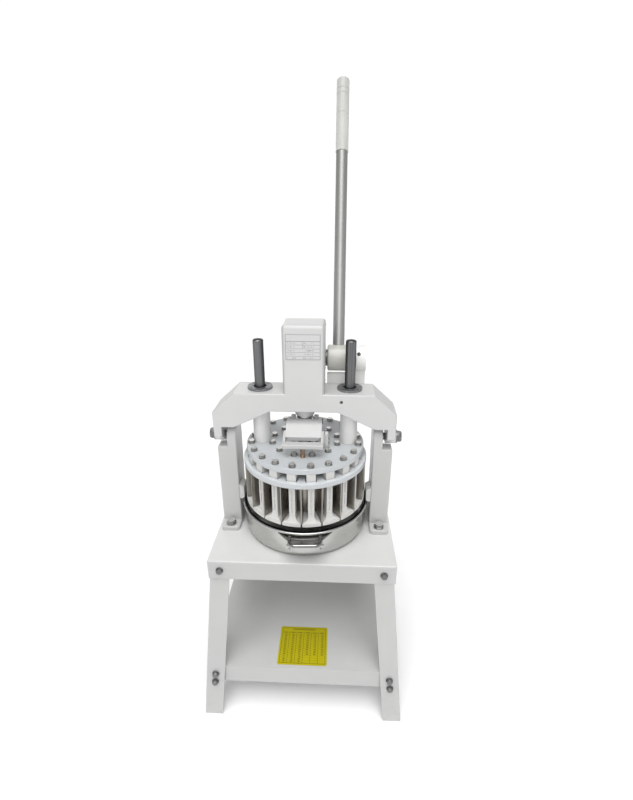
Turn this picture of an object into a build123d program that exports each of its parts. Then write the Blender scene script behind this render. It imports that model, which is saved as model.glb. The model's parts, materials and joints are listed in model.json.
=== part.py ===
"""Hand-lever dough divider: a round pan on a splayed stand, a tilting yoke head with a
rack and pinion, sector pushers and a cage of knives.

Millimetres. X to the right, Y to the rear, Z up from the floor. The model is laid out
about the press axis and moved to its stored origin, the middle of its floor outline,
when it is written.
"""
import os
from math import acos, atan2, cos, degrees, hypot, pi, radians, sin, sqrt, tan

from build123d import *

# Pan
PAN_R = 141.0
PAN_WALL = 2.0
PAN_CORNER = 14.0
PAN_H = 64.0
PAN_TURN = 3.0
RIM_OUT = 5.2
RIM_BEAD = 2.6
SEAL_H = 3.8
SEAL_W = 2.2
HANDLE_W = 72.0
HANDLE_REACH = 34.0
HANDLE_ROD = 4.0
HANDLE_DROP = 7.0
HANDLE_BEND = 12.0
HANDLE_WEB_W = 114.0
HANDLE_WEB_T = 3.0
STRAP_H = 16.0
STRAP_W = 80.0
STRAP_T = 1.2
TAB_W = 13.0
TAB_T = 2.4
RIVET_R = 3.2

# Table, legs and tray
TABLE_H = 434.0
TABLE_MARGIN = 8.0
TABLE_LIP = 19.0
TABLE_SHEET = 3.0
TABLE_EDGE_R = 4.0
APRON_H = 46.0
LEG_FLANGE = 42.0
LEG_SHEET = 3.0
FOOT_OUT = 33.0
TRAY_H = 144.0
TRAY_FLANGE = 50.0
TRAY_SHEET = 2.0
TRAY_BOLT_DROPS = (20.0, 43.0)

# Uprights, their feet, the pivots of the head and the lugs over the pan's rim
PAN_SIDE = 3.3
UPRIGHT_W = 42.5
UPRIGHT_DEPTH = 62.0
UPRIGHT_EDGE_R = 3.0
FOOT_L = 120.0
FOOT_H = 11.0
FOOT_CORNER_R = 8.0
FOOT_EDGE_R = 2.5
FOOT_BOLT_IN = 15.0
TONGUE_W = 20.5
PIVOT_RISE = 13.0
PIVOT_SKIN = 4.0
EAR_GAP = 7.0
EAR_W = 18.0
EAR_R = 15.5
EAR_FRONT_RISE = 8.0
EAR_BOSS_T = 5.0
EAR_FLOOR_GAP = 3.0
LUG_REACH = 10.0
LUG_L = 32.0
LUG_H = 30.0
LUG_RISE = 6.0
LUG_CHAMFER = 4.0
LUG_GAP = 2.0

# Press disc, knife disc, pushers and knives
PUSHER_PLAY = 2.0
PUSHER_LIFT = 8.0
PUSHER_L = 120.5
SHOE_T = 7.0
FLARE_H = 10.0
FLARE_IN = 0.78
WAIST_H = 3.0
FLARE_EDGE = 0.6
STEM_W = 13.0
STEM_D = 14.0
STEM_SETBACK = 18.0
SLOT_W = 3.4
SLOT_DEPTH = 2.0
SLOT_SHARE = 0.8
DOT_R = 2.6
NECK_W = 18.5
WINDOW_PLAY = 2.4
NECK_D = 18.0
NECK_BELOW = 4.0
NECK_INNER = 14.0
BOLT_GRIP = 15.0
RING_COUNTS = (4, 12, 20)
KNIFE_T = 2.0
KNIFE_GAP = 0.7
KNIFE_EDGE_RISE = 1.0
KNIFE_DISC_OUT = 0.5
KNIFE_DISC_T = 12.0
PRESS_DISC_IN = 7.0
PRESS_DISC_T = 12.5
DISC_EDGE_R = 1.5
DISC_GAP = 17.0
SPIGOT_R = 10.0

# Yoke, rack box and guides
YOKE_RISE = 83.0
YOKE_H = 40.0
YOKE_DEPTH = 76.0
YOKE_BEVEL_DROP = 44.0
YOKE_EDGE_R = 2.5
SHOULDER_IN = 2.5
WRIST_STEP = 1.5
FLAT_IN = 26.0
BOX_W = 86.0
BOX_H = 144.0
BOX_WALL = 6.0
BOX_EDGE_R = 8.0
BOSS_R = 26.5
BOSS_TIP_R = 20.5
BOSS_DROP = 18.0
GUIDE_SETBACK = 41.0
COLUMN_R = 19.0
COLUMN_BORE_R = 15.0
GUIDE_ROD_R = 11.0
GUIDE_ROD_STAND = 106.0
GUIDE_SPIGOT_R = 7.0
ROD_CHAMFER = 1.5
BUSH_FLANGE_R = 26.5
BUSH_FLANGE_T = 5.0
BUSH_MOUTH_R = 14.0
BUSH_MOUTH_DEPTH = 11.0
BUSH_L = 70.0
RING_SCREWS = 4
RING_SCREW_SINK = 0.5
GRUB_R = 3.5
GRUB_L = 7.0
GRUB_SINK = 2.0
GRUB_IN = 18.0
GRUB_RISE = 24.0

# Rack and pinion, shaft and lever
MODULE = 4.0
TEETH = 20
PRESSURE_ANGLE = 20.0
ROOT_DEPTH = 1.25
BACKLASH = 0.5
FLANK_STEPS = 5
PINION_W = 24.0
SHAFT_RISE = 54.0
SHAFT_R = 12.5
RAM_R = 18.0
RAM_HEADROOM = 1.0
RACK_FLAT = 15.0
RACK_BELOW = 2
CATCH_RISE = 7.0
CATCH_W = 8.0
CATCH_DEPTH = 2.5
CASE_INNER_W = 34.0
CASE_SIDE = 10.0
CASE_WALL = 8.0
CASE_PLATE = 6.0
CASE_PLAY = 2.0
CASE_HEM = 4.0
CASE_SCREW_END = 8.0
CASE_SCREW_BITE = 10.0
CASE_SCREW_R = 2.0
CASE_SCREW_HEAD_R = 3.4
KEY_W = 8.0
KEY_H = 7.0
KEY_SINK = 4.0
KEY_END = 1.0
HUB_GAP = 4.0
HUB_L = 58.0
HUB_R = 28.5
HUB_EDGE_R = 4.0
HUB_SCREW_R = 5.0
HUB_SCREW_SINK = 1.0
COLLAR_R = 18.0
LEVER_LEAN = 20.0
TUBE_IN = 24.0
TUBE_R = 12.5
TUBE_WALL = 3.0
TUBE_STOP = 1.0
LEVER_L = 595.0
GRIP_L = 152.0
GRIP_R = 13.8
GRIP_END = 8.0
GRIP_EDGE_R = 3.0
GRIP_GROOVES = (22.0, 33.0, 73.0)
GROOVE_R = 0.7
BRACKET_GAP = 4.0
BRACKET_W = 21.0
BRACKET_EYE_R = 29.0
BRACKET_TAPER = 4.0
BRACKET_WEB_T = 12.0
BRACKET_DROP = 36.0
BRACKET_BOLT_IN = 13.0
BRACKET_BOLT_BITE = 14.0
CLAMP_SCREW_RISE = 15.0
CLAMP_SCREW_IN = 5.0
CLAMP_SCREW_L = 11.0
BUSH_WALL = 3.0

# Release paddle
PADDLE_PIN_H = 47.0
PADDLE_PIN_R = 4.0
PADDLE_EYE_R = 9.0
PADDLE_W = 74.0
PADDLE_ARM_T = 5.5
PADDLE_BAR_FRONT = 88.0
PADDLE_BAR_D = 18.0
PADDLE_BAR_H = 9.5
PADDLE_BAR_LIFT = 22.0
PADDLE_BAR_R = 2.0
PADDLE_CREST = 4.0
PADDLE_BROW_Y = 29.0
PADDLE_BROW_R = 30.0
PADDLE_LIP_Y = 59.0
PADDLE_LIP_RISE = 35.5
PADDLE_LIP_H = 8.0
PADDLE_LIP_T = 7.0
PADDLE_T = 8.0
PADDLE_NOTCH_W = 10.0
PADDLE_ARM_END = 44.0
CHEEK_GAP = 1.5
CHEEK_T = 9.5
CHEEK_RISE = 6.0
CHEEK_EDGE_R = 2.0
POST_FRONT = 42.0
POST_W = 8.0
POST_D = 12.0
POST_H = 37.0
PIN_HEAD_R = 6.0
PIN_HEAD_T = 2.5
SPRING_R = 4.8
SPRING_WIRE = 0.7
SPRING_TURNS = 5

# Fasteners: across flats, head height, shank radius
M5 = (8.0, 3.5, 2.5)
M8 = (13.0, 5.3, 4.0)
M12 = (19.0, 7.5, 6.0)
M16 = (24.0, 10.0, 8.0)
M20 = (30.0, 11.0, 10.0)
WASHER_R = 0.625
CROWN_LOW = 0.62
CROWN_TOP = 0.46
WASHER_T = 0.1
THREAD_END = 2.0

# Clearances: a seated face, a running fit, a bolt hole, a sliding window, two bodies
SEAT = 0.2
RUN = 0.05
HOLE = 0.2
SLIDE = 0.8
BODY = 0.3
CUT = 1.0

# Places that follow from the sizes above
PAN_BOTTOM = TABLE_H + SEAT
RIM_H = PAN_BOTTOM + PAN_H
RIM_R = PAN_R + RIM_OUT
UPRIGHT_INNER = RIM_R + PAN_SIDE
UPRIGHT_OUTER = UPRIGHT_INNER + UPRIGHT_W
TONGUE_OUTER = UPRIGHT_INNER + TONGUE_W
TABLE_W = 2 * (UPRIGHT_OUTER + TABLE_MARGIN)
TABLE_D = 2 * (PAN_R + TABLE_LIP)
APRON_BOTTOM = TABLE_H - APRON_H
SPLAY = (FOOT_OUT + TABLE_SHEET + SEAT) / APRON_BOTTOM
FOOT_BOLT_X = UPRIGHT_INNER + UPRIGHT_W / 2
FOOT_BOLT_Y = FOOT_L / 2 - FOOT_BOLT_IN
PUSHER_R = PAN_R - PAN_WALL - PUSHER_PLAY
PUSHER_BOTTOM = RIM_H + SEAL_H + PUSHER_LIFT
PRESS_BOTTOM = PUSHER_BOTTOM + PUSHER_L
PRESS_TOP = PRESS_BOTTOM + PRESS_DISC_T
PRESS_DISC_R = PUSHER_R - PRESS_DISC_IN
KNIFE_TOP = PRESS_BOTTOM - DISC_GAP
KNIFE_BOTTOM = KNIFE_TOP - KNIFE_DISC_T
KNIFE_EDGE = PUSHER_BOTTOM + KNIFE_EDGE_RISE
KNIFE_DISC_R = PUSHER_R + KNIFE_DISC_OUT
KNIFE_CORNER = PAN_CORNER - PAN_WALL - PUSHER_PLAY
NUT_LOW = KNIFE_BOTTOM - M20[1]
PIVOT_H = PRESS_TOP + PIVOT_RISE
PIVOT_R = M16[2]
EAR_INNER = TONGUE_OUTER + EAR_GAP
EAR_OUTER = EAR_INNER + EAR_W
EAR_FACE = EAR_OUTER + EAR_BOSS_T
LEDGE_H = PIVOT_H - EAR_R - EAR_FLOOR_GAP
WRIST_H = PIVOT_H + UPRIGHT_DEPTH / 2 + 2 * BODY
YOKE_BOTTOM = PRESS_TOP + YOKE_RISE
YOKE_TOP = YOKE_BOTTOM + YOKE_H
YOKE_HALF = YOKE_DEPTH / 2
BOX_TOP = YOKE_TOP + BOX_H
BOX_INNER = BOX_W / 2 - BOX_WALL
GUIDE_X = PUSHER_R - GUIDE_SETBACK
GUIDE_ROD_TOP = YOKE_TOP + GUIDE_ROD_STAND
PITCH_R = MODULE * TEETH / 2
RACK_PITCH_Y = RACK_FLAT - MODULE
SHAFT_Y = RACK_PITCH_Y + PITCH_R
SHAFT_H = YOKE_TOP + SHAFT_RISE
SHAFT_BUSH_R = SHAFT_R + RUN + BUSH_WALL
RAM_TOP = BOX_TOP - BOX_WALL - RAM_HEADROOM
CASE_BACK = YOKE_HALF + SEAT
CASE_OUTER = CASE_INNER_W / 2 + CASE_SIDE
HUB_X0 = BOX_W / 2 + HUB_GAP
HUB_X1 = HUB_X0 + HUB_L
TUBE_X = HUB_X0 + TUBE_IN
BRACKET_X0 = HUB_X1 + BRACKET_GAP
BRACKET_X1 = BRACKET_X0 + BRACKET_W
PIN_Z = PRESS_TOP + PADDLE_PIN_H
LEVER_DIR = Vector(0, sin(radians(LEVER_LEAN)), cos(radians(LEVER_LEAN)))
FOOT_REACH = TABLE_D / 2 + FOOT_OUT
LEVER_REACH = (SHAFT_Y + GRIP_EDGE_R + (LEVER_L - GRIP_EDGE_R) * LEVER_DIR.Y
               + (GRIP_R - GRIP_EDGE_R) * LEVER_DIR.Z)
ORIGIN_Y = (LEVER_REACH - FOOT_REACH) / 2

LOW = (Align.CENTER, Align.CENTER, Align.MIN)
pieces = {}


def block(x0, x1, y0, y1, z0, z1):
    """Box between two corners."""
    return Pos((x0 + x1) / 2, (y0 + y1) / 2, (z0 + z1) / 2) * Box(x1 - x0, y1 - y0, z1 - z0)


def rod_x(x0, x1, y, z, r):
    """Round bar along X."""
    return Pos(x0, y, z) * Rot(0, 90, 0) * Cylinder(r, x1 - x0, align=LOW)


def rod_y(x, y0, y1, z, r):
    """Round bar along Y."""
    return Pos(x, y0, z) * Rot(-90, 0, 0) * Cylinder(r, y1 - y0, align=LOW)


def rod_z(x, y, z0, z1, r):
    """Round bar along Z."""
    return Pos(x, y, z0) * Cylinder(r, z1 - z0, align=LOW)


def slab_yz(points, x0, x1):
    """Plate with a (Y, Z) outline from x0 to x1."""
    face = Plane.YZ.offset(x0) * Polygon(*points, align=None)
    return extrude(face, x1 - x0, dir=(1, 0, 0))


def slab_xz(points, half):
    """Plate with an (X, Z) outline, half each way along Y."""
    return extrude(Plane.XZ * Polygon(*points, align=None), half, both=True)


def on_ring(count, radius, z, shape, first):
    """Copies of a shape about the press axis, first at the angle given."""
    step = 360.0 / count
    spots = [Rot(0, 0, first + k * step) * Pos(radius, 0, z) for k in range(count)]
    return [spot * shape for spot in spots]


def mirrored(shape):
    """The same piece on the other side."""
    return mirror(shape, Plane.YZ)


def bolt(size, shank):
    """Hex bolt with a washer face that stands on z = 0 and its shank below."""
    across, height, radius = size
    washer_t = across * WASHER_T
    washer = Cylinder(across * WASHER_R, washer_t, align=LOW)
    head = extrude(RegularPolygon(across / 2, 6, major_radius=False), height)
    crown = Cone(across * CROWN_LOW, across * CROWN_TOP, height, align=LOW)
    stem = Pos(0, 0, -shank) * Cylinder(radius, shank, align=LOW)
    return washer + Pos(0, 0, washer_t) * (head & crown) + stem


def nut(size, height):
    """Hex nut standing on z = 0."""
    across, _, radius = size
    body = extrude(RegularPolygon(across / 2, 6, major_radius=False), height)
    return body - Cylinder(radius + SEAT / 2, 3 * height)


def socket_screw(radius, length, key):
    """Headless screw below z = 0 with a hexagonal key hole in its top."""
    body = Pos(0, 0, -length) * Cylinder(radius, length, align=LOW)
    hole = Pos(0, 0, -length / 2) * extrude(RegularPolygon(key / 2, 6), length)
    return body - hole


def tangent_point(y, z, r):
    """Where a line from (y, z), y > 0, meets a circle about the pivot on its lower side."""
    reach = hypot(y, z)
    turn = atan2(z, y) - acos(r / reach)
    return r * cos(turn), r * sin(turn)


def leg_corner(half, height):
    """Outer corner of a splayed leg, by half the table's size, at a height."""
    return half - TABLE_SHEET - SEAT + SPLAY * (APRON_BOTTOM - height)


def toward_y(side):
    """Turns +Z to the outward Y direction of a side."""
    return Rot(-90 * side, 0, 0)


# Stand
def build_stand():
    half_w = TABLE_W / 2
    half_d = TABLE_D / 2
    apron_bolt_h = APRON_BOTTOM + APRON_H / 2
    leg_top = TABLE_H - TABLE_SHEET - SEAT
    clear = M8[2] + HOLE

    table = block(-half_w, half_w, -half_d, half_d, APRON_BOTTOM, TABLE_H)
    table = fillet(table.edges().filter_by(Axis.Z) + table.faces().sort_by(Axis.Z)[-1].edges(), TABLE_EDGE_R)
    inner_w = half_w - TABLE_SHEET
    inner_d = half_d - TABLE_SHEET
    table -= block(-inner_w, inner_w, -inner_d, inner_d, 0, TABLE_H - TABLE_SHEET)

    tray_w = leg_corner(half_w, TRAY_H) - LEG_SHEET - SEAT
    tray_d = leg_corner(half_d, TRAY_H) - LEG_SHEET - SEAT
    tray_low = TRAY_H - TRAY_FLANGE
    tray = block(-tray_w, tray_w, -tray_d, tray_d, tray_low, TRAY_H)
    hollow_w = tray_w - TRAY_SHEET
    hollow_d = tray_d - TRAY_SHEET
    tray -= block(-hollow_w, hollow_w, -hollow_d, hollow_d, 0, TRAY_H - TRAY_SHEET)

    bolts = []
    nuts = []
    for side_x, name_x in ((-1, "left"), (1, "right")):
        for side_y, name_y in ((-1, "front"), (1, "rear")):
            x = leg_corner(half_w, 0)
            y = leg_corner(half_d, 0)
            outline = [(x, y), (x - LEG_FLANGE, y), (x - LEG_FLANGE, y - LEG_SHEET),
                       (x - LEG_SHEET, y - LEG_SHEET), (x - LEG_SHEET, y - LEG_FLANGE), (x, y - LEG_FLANGE)]
            corners = [(side_x * px, side_y * py) for px, py in outline]
            if side_x * side_y < 0:
                corners.reverse()
            lean = Vector(-side_x * SPLAY, -side_y * SPLAY, 1) * leg_top
            leg = Part() + Solid.extrude(Polygon(*corners, align=None).face(), lean)

            spots = [(apron_bolt_h, half_d, half_d)]
            spots += [(TRAY_H - drop, leg_corner(half_d, TRAY_H - drop - M8[0] / 2), tray_d)
                      for drop in TRAY_BOLT_DROPS]
            for height, face_y, held_y in spots:
                at_x = side_x * (leg_corner(half_w, height) - LEG_FLANGE / 2)
                inside = min(leg_corner(half_d, height + M8[0] / 2) - LEG_SHEET, held_y - TRAY_SHEET) - SEAT
                hole = rod_y(at_x, -half_d * 2, 0, height, clear)
                if side_y > 0:
                    hole = rod_y(at_x, 0, half_d * 2, height, clear)
                leg -= hole
                table -= hole
                tray -= hole
                shank = face_y - inside + M8[1] + THREAD_END
                bolts.append(Pos(at_x, side_y * (face_y + SEAT), height) * toward_y(side_y) * bolt(M8, shank))
                nut_y = side_y * (inside - M8[1])
                nuts.append(Pos(at_x, nut_y, height) * toward_y(side_y) * nut(M8, M8[1]))
            pieces[f"leg_{name_y}_{name_x}"] = leg

    deep = UPRIGHT_DEPTH / 2
    post = block(UPRIGHT_INNER, UPRIGHT_OUTER, -deep, deep, TABLE_H, LEDGE_H)
    post = fillet(post.edges().filter_by(Axis.Z) + post.faces().sort_by(Axis.Z)[-1].edges(), UPRIGHT_EDGE_R)
    rear_low = PIVOT_H - YOKE_HALF - EAR_FLOOR_GAP
    slope = [(0, LEDGE_H), (deep + CUT, rear_low), (deep + CUT, PIVOT_H), (0, PIVOT_H)]
    post -= slab_yz(slope, UPRIGHT_INNER - CUT, UPRIGHT_OUTER + CUT)
    tongue = block(UPRIGHT_INNER, TONGUE_OUTER, -deep, deep, TABLE_H, PIVOT_H)
    tongue += rod_x(UPRIGHT_INNER, TONGUE_OUTER, 0, PIVOT_H, deep)
    sides = tongue.faces().filter_by(Axis.X).sort_by(Axis.X)
    tongue = fillet(sides[0].edges() + sides[-1].edges(), UPRIGHT_EDGE_R)
    foot = block(UPRIGHT_INNER, UPRIGHT_OUTER, -FOOT_L / 2, FOOT_L / 2, TABLE_H, TABLE_H + FOOT_H)
    foot = fillet(foot.edges().filter_by(Axis.Z), FOOT_CORNER_R)
    foot = fillet(foot.faces().sort_by(Axis.Z)[-1].edges(), FOOT_EDGE_R)
    upright = post + tongue + foot
    upright -= rod_x(UPRIGHT_INNER + PIVOT_SKIN, EAR_OUTER, 0, PIVOT_H, PIVOT_R + HOLE / 2)

    foot_bolts = []
    foot_nuts = []
    for y in (-FOOT_BOLT_Y, FOOT_BOLT_Y):
        hole = rod_z(FOOT_BOLT_X, y, 0, TABLE_H + 2 * FOOT_H, M12[2] + HOLE)
        upright -= hole
        table -= [hole, mirrored(hole)]
        shank = FOOT_H + TABLE_SHEET + M12[1] + THREAD_END
        nut_z = TABLE_H - TABLE_SHEET - SEAT - M12[1]
        foot_bolts.append(Pos(FOOT_BOLT_X, y, TABLE_H + FOOT_H) * bolt(M12, shank))
        foot_nuts.append(Pos(FOOT_BOLT_X, y, nut_z) * nut(M12, M12[1]))

    lug_low = RIM_H + SEAL_H + LUG_GAP
    lug_in = UPRIGHT_INNER - LUG_REACH
    lug_top = lug_low + LUG_H
    outline = [(UPRIGHT_INNER, lug_low), (UPRIGHT_INNER, lug_top + LUG_RISE), (lug_in, lug_top),
               (lug_in, lug_low + LUG_CHAMFER), (lug_in + LUG_CHAMFER, lug_low)]
    lug = Pos(0, LUG_L / 2 - deep, 0) * slab_xz(outline, LUG_L / 2)

    shank = EAR_FACE - UPRIGHT_INNER - PIVOT_SKIN
    pivot = Pos(EAR_FACE + SEAT, 0, PIVOT_H) * Rot(0, 90, 0) * bolt(M16, shank)

    pieces["table_top"] = table
    pieces["tray_shelf"] = tray
    pieces["frame_bolts"] = bolts
    pieces["frame_nuts"] = nuts
    pieces["upright_right"] = upright
    pieces["upright_left"] = mirrored(upright)
    pieces["upright_bolts"] = foot_bolts + [mirrored(b) for b in foot_bolts]
    pieces["upright_nuts"] = foot_nuts + [mirrored(n) for n in foot_nuts]
    pieces["pan_lug_right"] = lug
    pieces["pan_lug_left"] = mirrored(lug)
    pieces["pivot_bolts"] = [pivot, mirrored(pivot)]


# Pan with its seal and handle
def build_pan():
    outer = rod_z(0, 0, PAN_BOTTOM, RIM_H, PAN_R)
    outer = fillet(outer.edges().sort_by(Axis.Z)[0], PAN_CORNER)
    inner = rod_z(0, 0, PAN_BOTTOM + PAN_WALL, RIM_H + PAN_CORNER, PAN_R - PAN_WALL)
    inner = fillet(inner.edges().sort_by(Axis.Z)[0], PAN_CORNER - PAN_WALL)
    bead_r = RIM_R - RIM_BEAD
    flange = rod_z(0, 0, RIM_H - PAN_WALL, RIM_H, bead_r)
    bead = Pos(0, 0, RIM_H) * Torus(bead_r, RIM_BEAD)
    pieces["pan_bowl"] = outer + flange + bead - inner

    seal_in = PAN_R - PAN_WALL - BODY
    ring = rod_z(0, 0, RIM_H, RIM_H + SEAL_H, seal_in + SEAL_W)
    ring -= rod_z(0, 0, RIM_H - CUT, RIM_H + SEAL_H + CUT, seal_in)
    ring = fillet(ring.faces().sort_by(Axis.Z)[-1].edges(), SEAL_W / 3)
    pieces["pan_seal_ring"] = ring

    strap_low = PAN_BOTTOM + PAN_CORNER
    wall = rod_z(0, 0, 0, BOX_TOP, PAN_R + SEAT / 4)
    strap = strap_band(strap_low, STRAP_T, 0, STRAP_W) - wall
    rivets = []
    for side in (-1, 1):
        strap += strap_band(strap_low, TAB_T, side * (STRAP_W - TAB_W) / 2, TAB_W) - wall
        dome = Sphere(RIVET_R) & Cylinder(RIVET_R, RIVET_R, align=LOW)
        turn = degrees((STRAP_W / 2 - TAB_W / 2) / PAN_R) * side
        rivets.append(Rot(0, 0, turn) * Pos(0, -PAN_R - TAB_T, strap_low + STRAP_H / 2) * toward_y(-1) * dome)

    handle_z = RIM_H - HANDLE_DROP
    half = HANDLE_W / 2 - HANDLE_ROD
    root_y = HANDLE_REACH - PAN_R
    out_y = -PAN_R - HANDLE_REACH + HANDLE_ROD
    points = [(-half, root_y, handle_z), (-half, out_y, handle_z),
              (half, out_y, handle_z), (half, root_y, handle_z)]
    path = FilletPolyline(*points, radius=HANDLE_BEND)
    section = Plane(points[0], z_dir=(0, -1, 0)) * Circle(HANDLE_ROD)
    handle = sweep(section, path)
    wide = HANDLE_WEB_W / 2
    wide_y = -sqrt(PAN_R ** 2 - wide ** 2)
    right = [(half - HANDLE_BEND, out_y), (half, out_y + HANDLE_BEND), (wide, wide_y), (half, root_y)]
    left = [(-x, y) for x, y in reversed(right)]
    web = Pos(0, 0, handle_z - HANDLE_WEB_T / 2) * Polygon(*right, *left, align=None)
    handle += extrude(web, HANDLE_WEB_T, dir=(0, 0, 1))
    handle -= wall

    turned = Rot(0, 0, PAN_TURN)
    pieces["handle_strap"] = turned * strap
    pieces["handle_rivets"] = [turned * rivet for rivet in rivets]
    pieces["pan_handle"] = turned * handle


def strap_band(low, thick, middle, width):
    """Stretch of a band round the front of the pan."""
    band = rod_z(0, 0, low, low + STRAP_H, PAN_R + thick)
    return band & block(middle - width / 2, middle + width / 2, -2 * PAN_R, 0, 0, BOX_TOP)


# Yoke, rack box and guides
def build_yoke():
    bevel_low = YOKE_TOP - YOKE_BEVEL_DROP
    ear_low = PIVOT_H + EAR_FRONT_RISE
    right = [(GUIDE_X - FLAT_IN, YOKE_BOTTOM), (UPRIGHT_INNER + WRIST_STEP, WRIST_H), (EAR_INNER, WRIST_H),
             (EAR_INNER, ear_low), (EAR_OUTER, ear_low), (EAR_OUTER, bevel_low),
             (UPRIGHT_INNER - SHOULDER_IN, YOKE_TOP)]
    left = [(-x, z) for x, z in reversed(right)]
    beam = slab_xz(right + left, YOKE_HALF)
    rims = beam.faces().sort_by(Axis.Y)
    beam = fillet(rims[0].edges() + rims[-1].edges(), YOKE_EDGE_R)
    beam -= block(-2 * EAR_OUTER, 2 * EAR_OUTER, 0, 2 * YOKE_HALF, PIVOT_H, WRIST_H)

    box = block(-BOX_W / 2, BOX_W / 2, -YOKE_HALF, YOKE_HALF, YOKE_TOP - 2 * BOX_WALL, BOX_TOP)
    soft = box.edges().filter_by(Axis.Z).group_by(Axis.Y)[0]
    soft += box.faces().sort_by(Axis.Z)[-1].edges().filter_by(Axis.X)
    soft += box.faces().sort_by(Axis.Z)[-1].edges().filter_by(Axis.Y)
    box = fillet(soft, BOX_EDGE_R)
    casting = beam + box
    casting += rod_z(0, 0, YOKE_BOTTOM, YOKE_TOP, BOSS_R)
    casting += Pos(0, 0, YOKE_BOTTOM - BOSS_DROP) * Cone(BOSS_TIP_R, BOSS_R, BOSS_DROP, align=LOW)
    casting -= block(-BOX_INNER, BOX_INNER, BOX_WALL - YOKE_HALF, 2 * YOKE_HALF, YOKE_TOP, BOX_TOP - BOX_WALL)

    wrist_y = YOKE_HALF - YOKE_EDGE_R
    rise = WRIST_H - PIVOT_H
    front_y, front_z = tangent_point(wrist_y, EAR_FRONT_RISE, EAR_R)
    rear_y, rear_z = tangent_point(wrist_y, rise, EAR_R)
    outline = [(-wrist_y, WRIST_H), (-wrist_y, ear_low), (-front_y, PIVOT_H + front_z),
               (rear_y, PIVOT_H + rear_z), (wrist_y, WRIST_H)]
    ear = slab_yz(outline, EAR_INNER, EAR_OUTER) + rod_x(EAR_INNER, EAR_FACE, 0, PIVOT_H, EAR_R)
    ear += block(EAR_INNER, EAR_OUTER, 0, wrist_y, WRIST_H, WRIST_H + YOKE_EDGE_R)
    ear -= rod_x(EAR_INNER - CUT, EAR_FACE + CUT, 0, PIVOT_H, PIVOT_R + RUN)
    casting += [ear, mirrored(ear)]

    bush_out = RAM_R + RUN + 2 * BUSH_WALL
    casting -= rod_z(0, 0, YOKE_BOTTOM, YOKE_TOP + CUT, bush_out + SEAT / 4)
    casting -= rod_z(0, 0, 0, YOKE_TOP, RAM_R + SLIDE)
    ram_bush = rod_z(0, 0, YOKE_BOTTOM, YOKE_TOP, bush_out)
    ram_bush -= rod_z(0, 0, 0, BOX_TOP, RAM_R + RUN)
    pieces["ram_bush"] = ram_bush

    column_low = PRESS_TOP + BODY
    screws = []
    for name, x in (("left", -GUIDE_X), ("right", GUIDE_X)):
        casting -= rod_z(x, 0, 0, BOX_TOP, COLUMN_R + SEAT / 4)
        column = rod_z(x, 0, column_low, YOKE_TOP, COLUMN_R)
        column -= rod_z(x, 0, 0, BOX_TOP, COLUMN_BORE_R)
        pieces[f"guide_column_{name}"] = column

        bush = rod_z(x, 0, YOKE_TOP - BUSH_L, YOKE_TOP, COLUMN_BORE_R - SEAT / 4)
        bush += rod_z(x, 0, YOKE_TOP, YOKE_TOP + BUSH_FLANGE_T, BUSH_FLANGE_R)
        bush -= rod_z(x, 0, 0, BOX_TOP, GUIDE_ROD_R + RUN)
        mouth_top = YOKE_TOP + BUSH_FLANGE_T
        bush -= rod_z(x, 0, mouth_top - BUSH_MOUTH_DEPTH, mouth_top + CUT, BUSH_MOUTH_R)
        ring_r = (BUSH_FLANGE_R + COLUMN_R) / 2
        for k in range(RING_SCREWS):
            turn = radians((k + 0.5) * 360 / RING_SCREWS)
            sx = x + ring_r * cos(turn)
            sy = ring_r * sin(turn)
            hole = rod_z(sx, sy, YOKE_TOP - 3 * M5[1], mouth_top + CUT, M5[2] + SEAT / 2)
            bush -= hole
            casting -= hole
            screws.append(Pos(sx, sy, mouth_top - RING_SCREW_SINK) * socket_screw(M5[2], 3 * M5[1], M5[2]))
        pieces[f"guide_bush_{name}"] = bush
    pieces["bush_screws"] = screws

    grub_x = GUIDE_X - GRUB_IN
    grub_z = YOKE_BOTTOM + GRUB_RISE
    casting -= rod_y(grub_x, -YOKE_HALF - CUT, GRUB_L + GRUB_SINK - YOKE_HALF, grub_z, GRUB_R + SEAT / 2)
    grub = Pos(grub_x, GRUB_SINK - YOKE_HALF, grub_z) * toward_y(-1) * socket_screw(GRUB_R, GRUB_L, GRUB_R)
    pieces["column_screw"] = grub
    return casting


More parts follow.
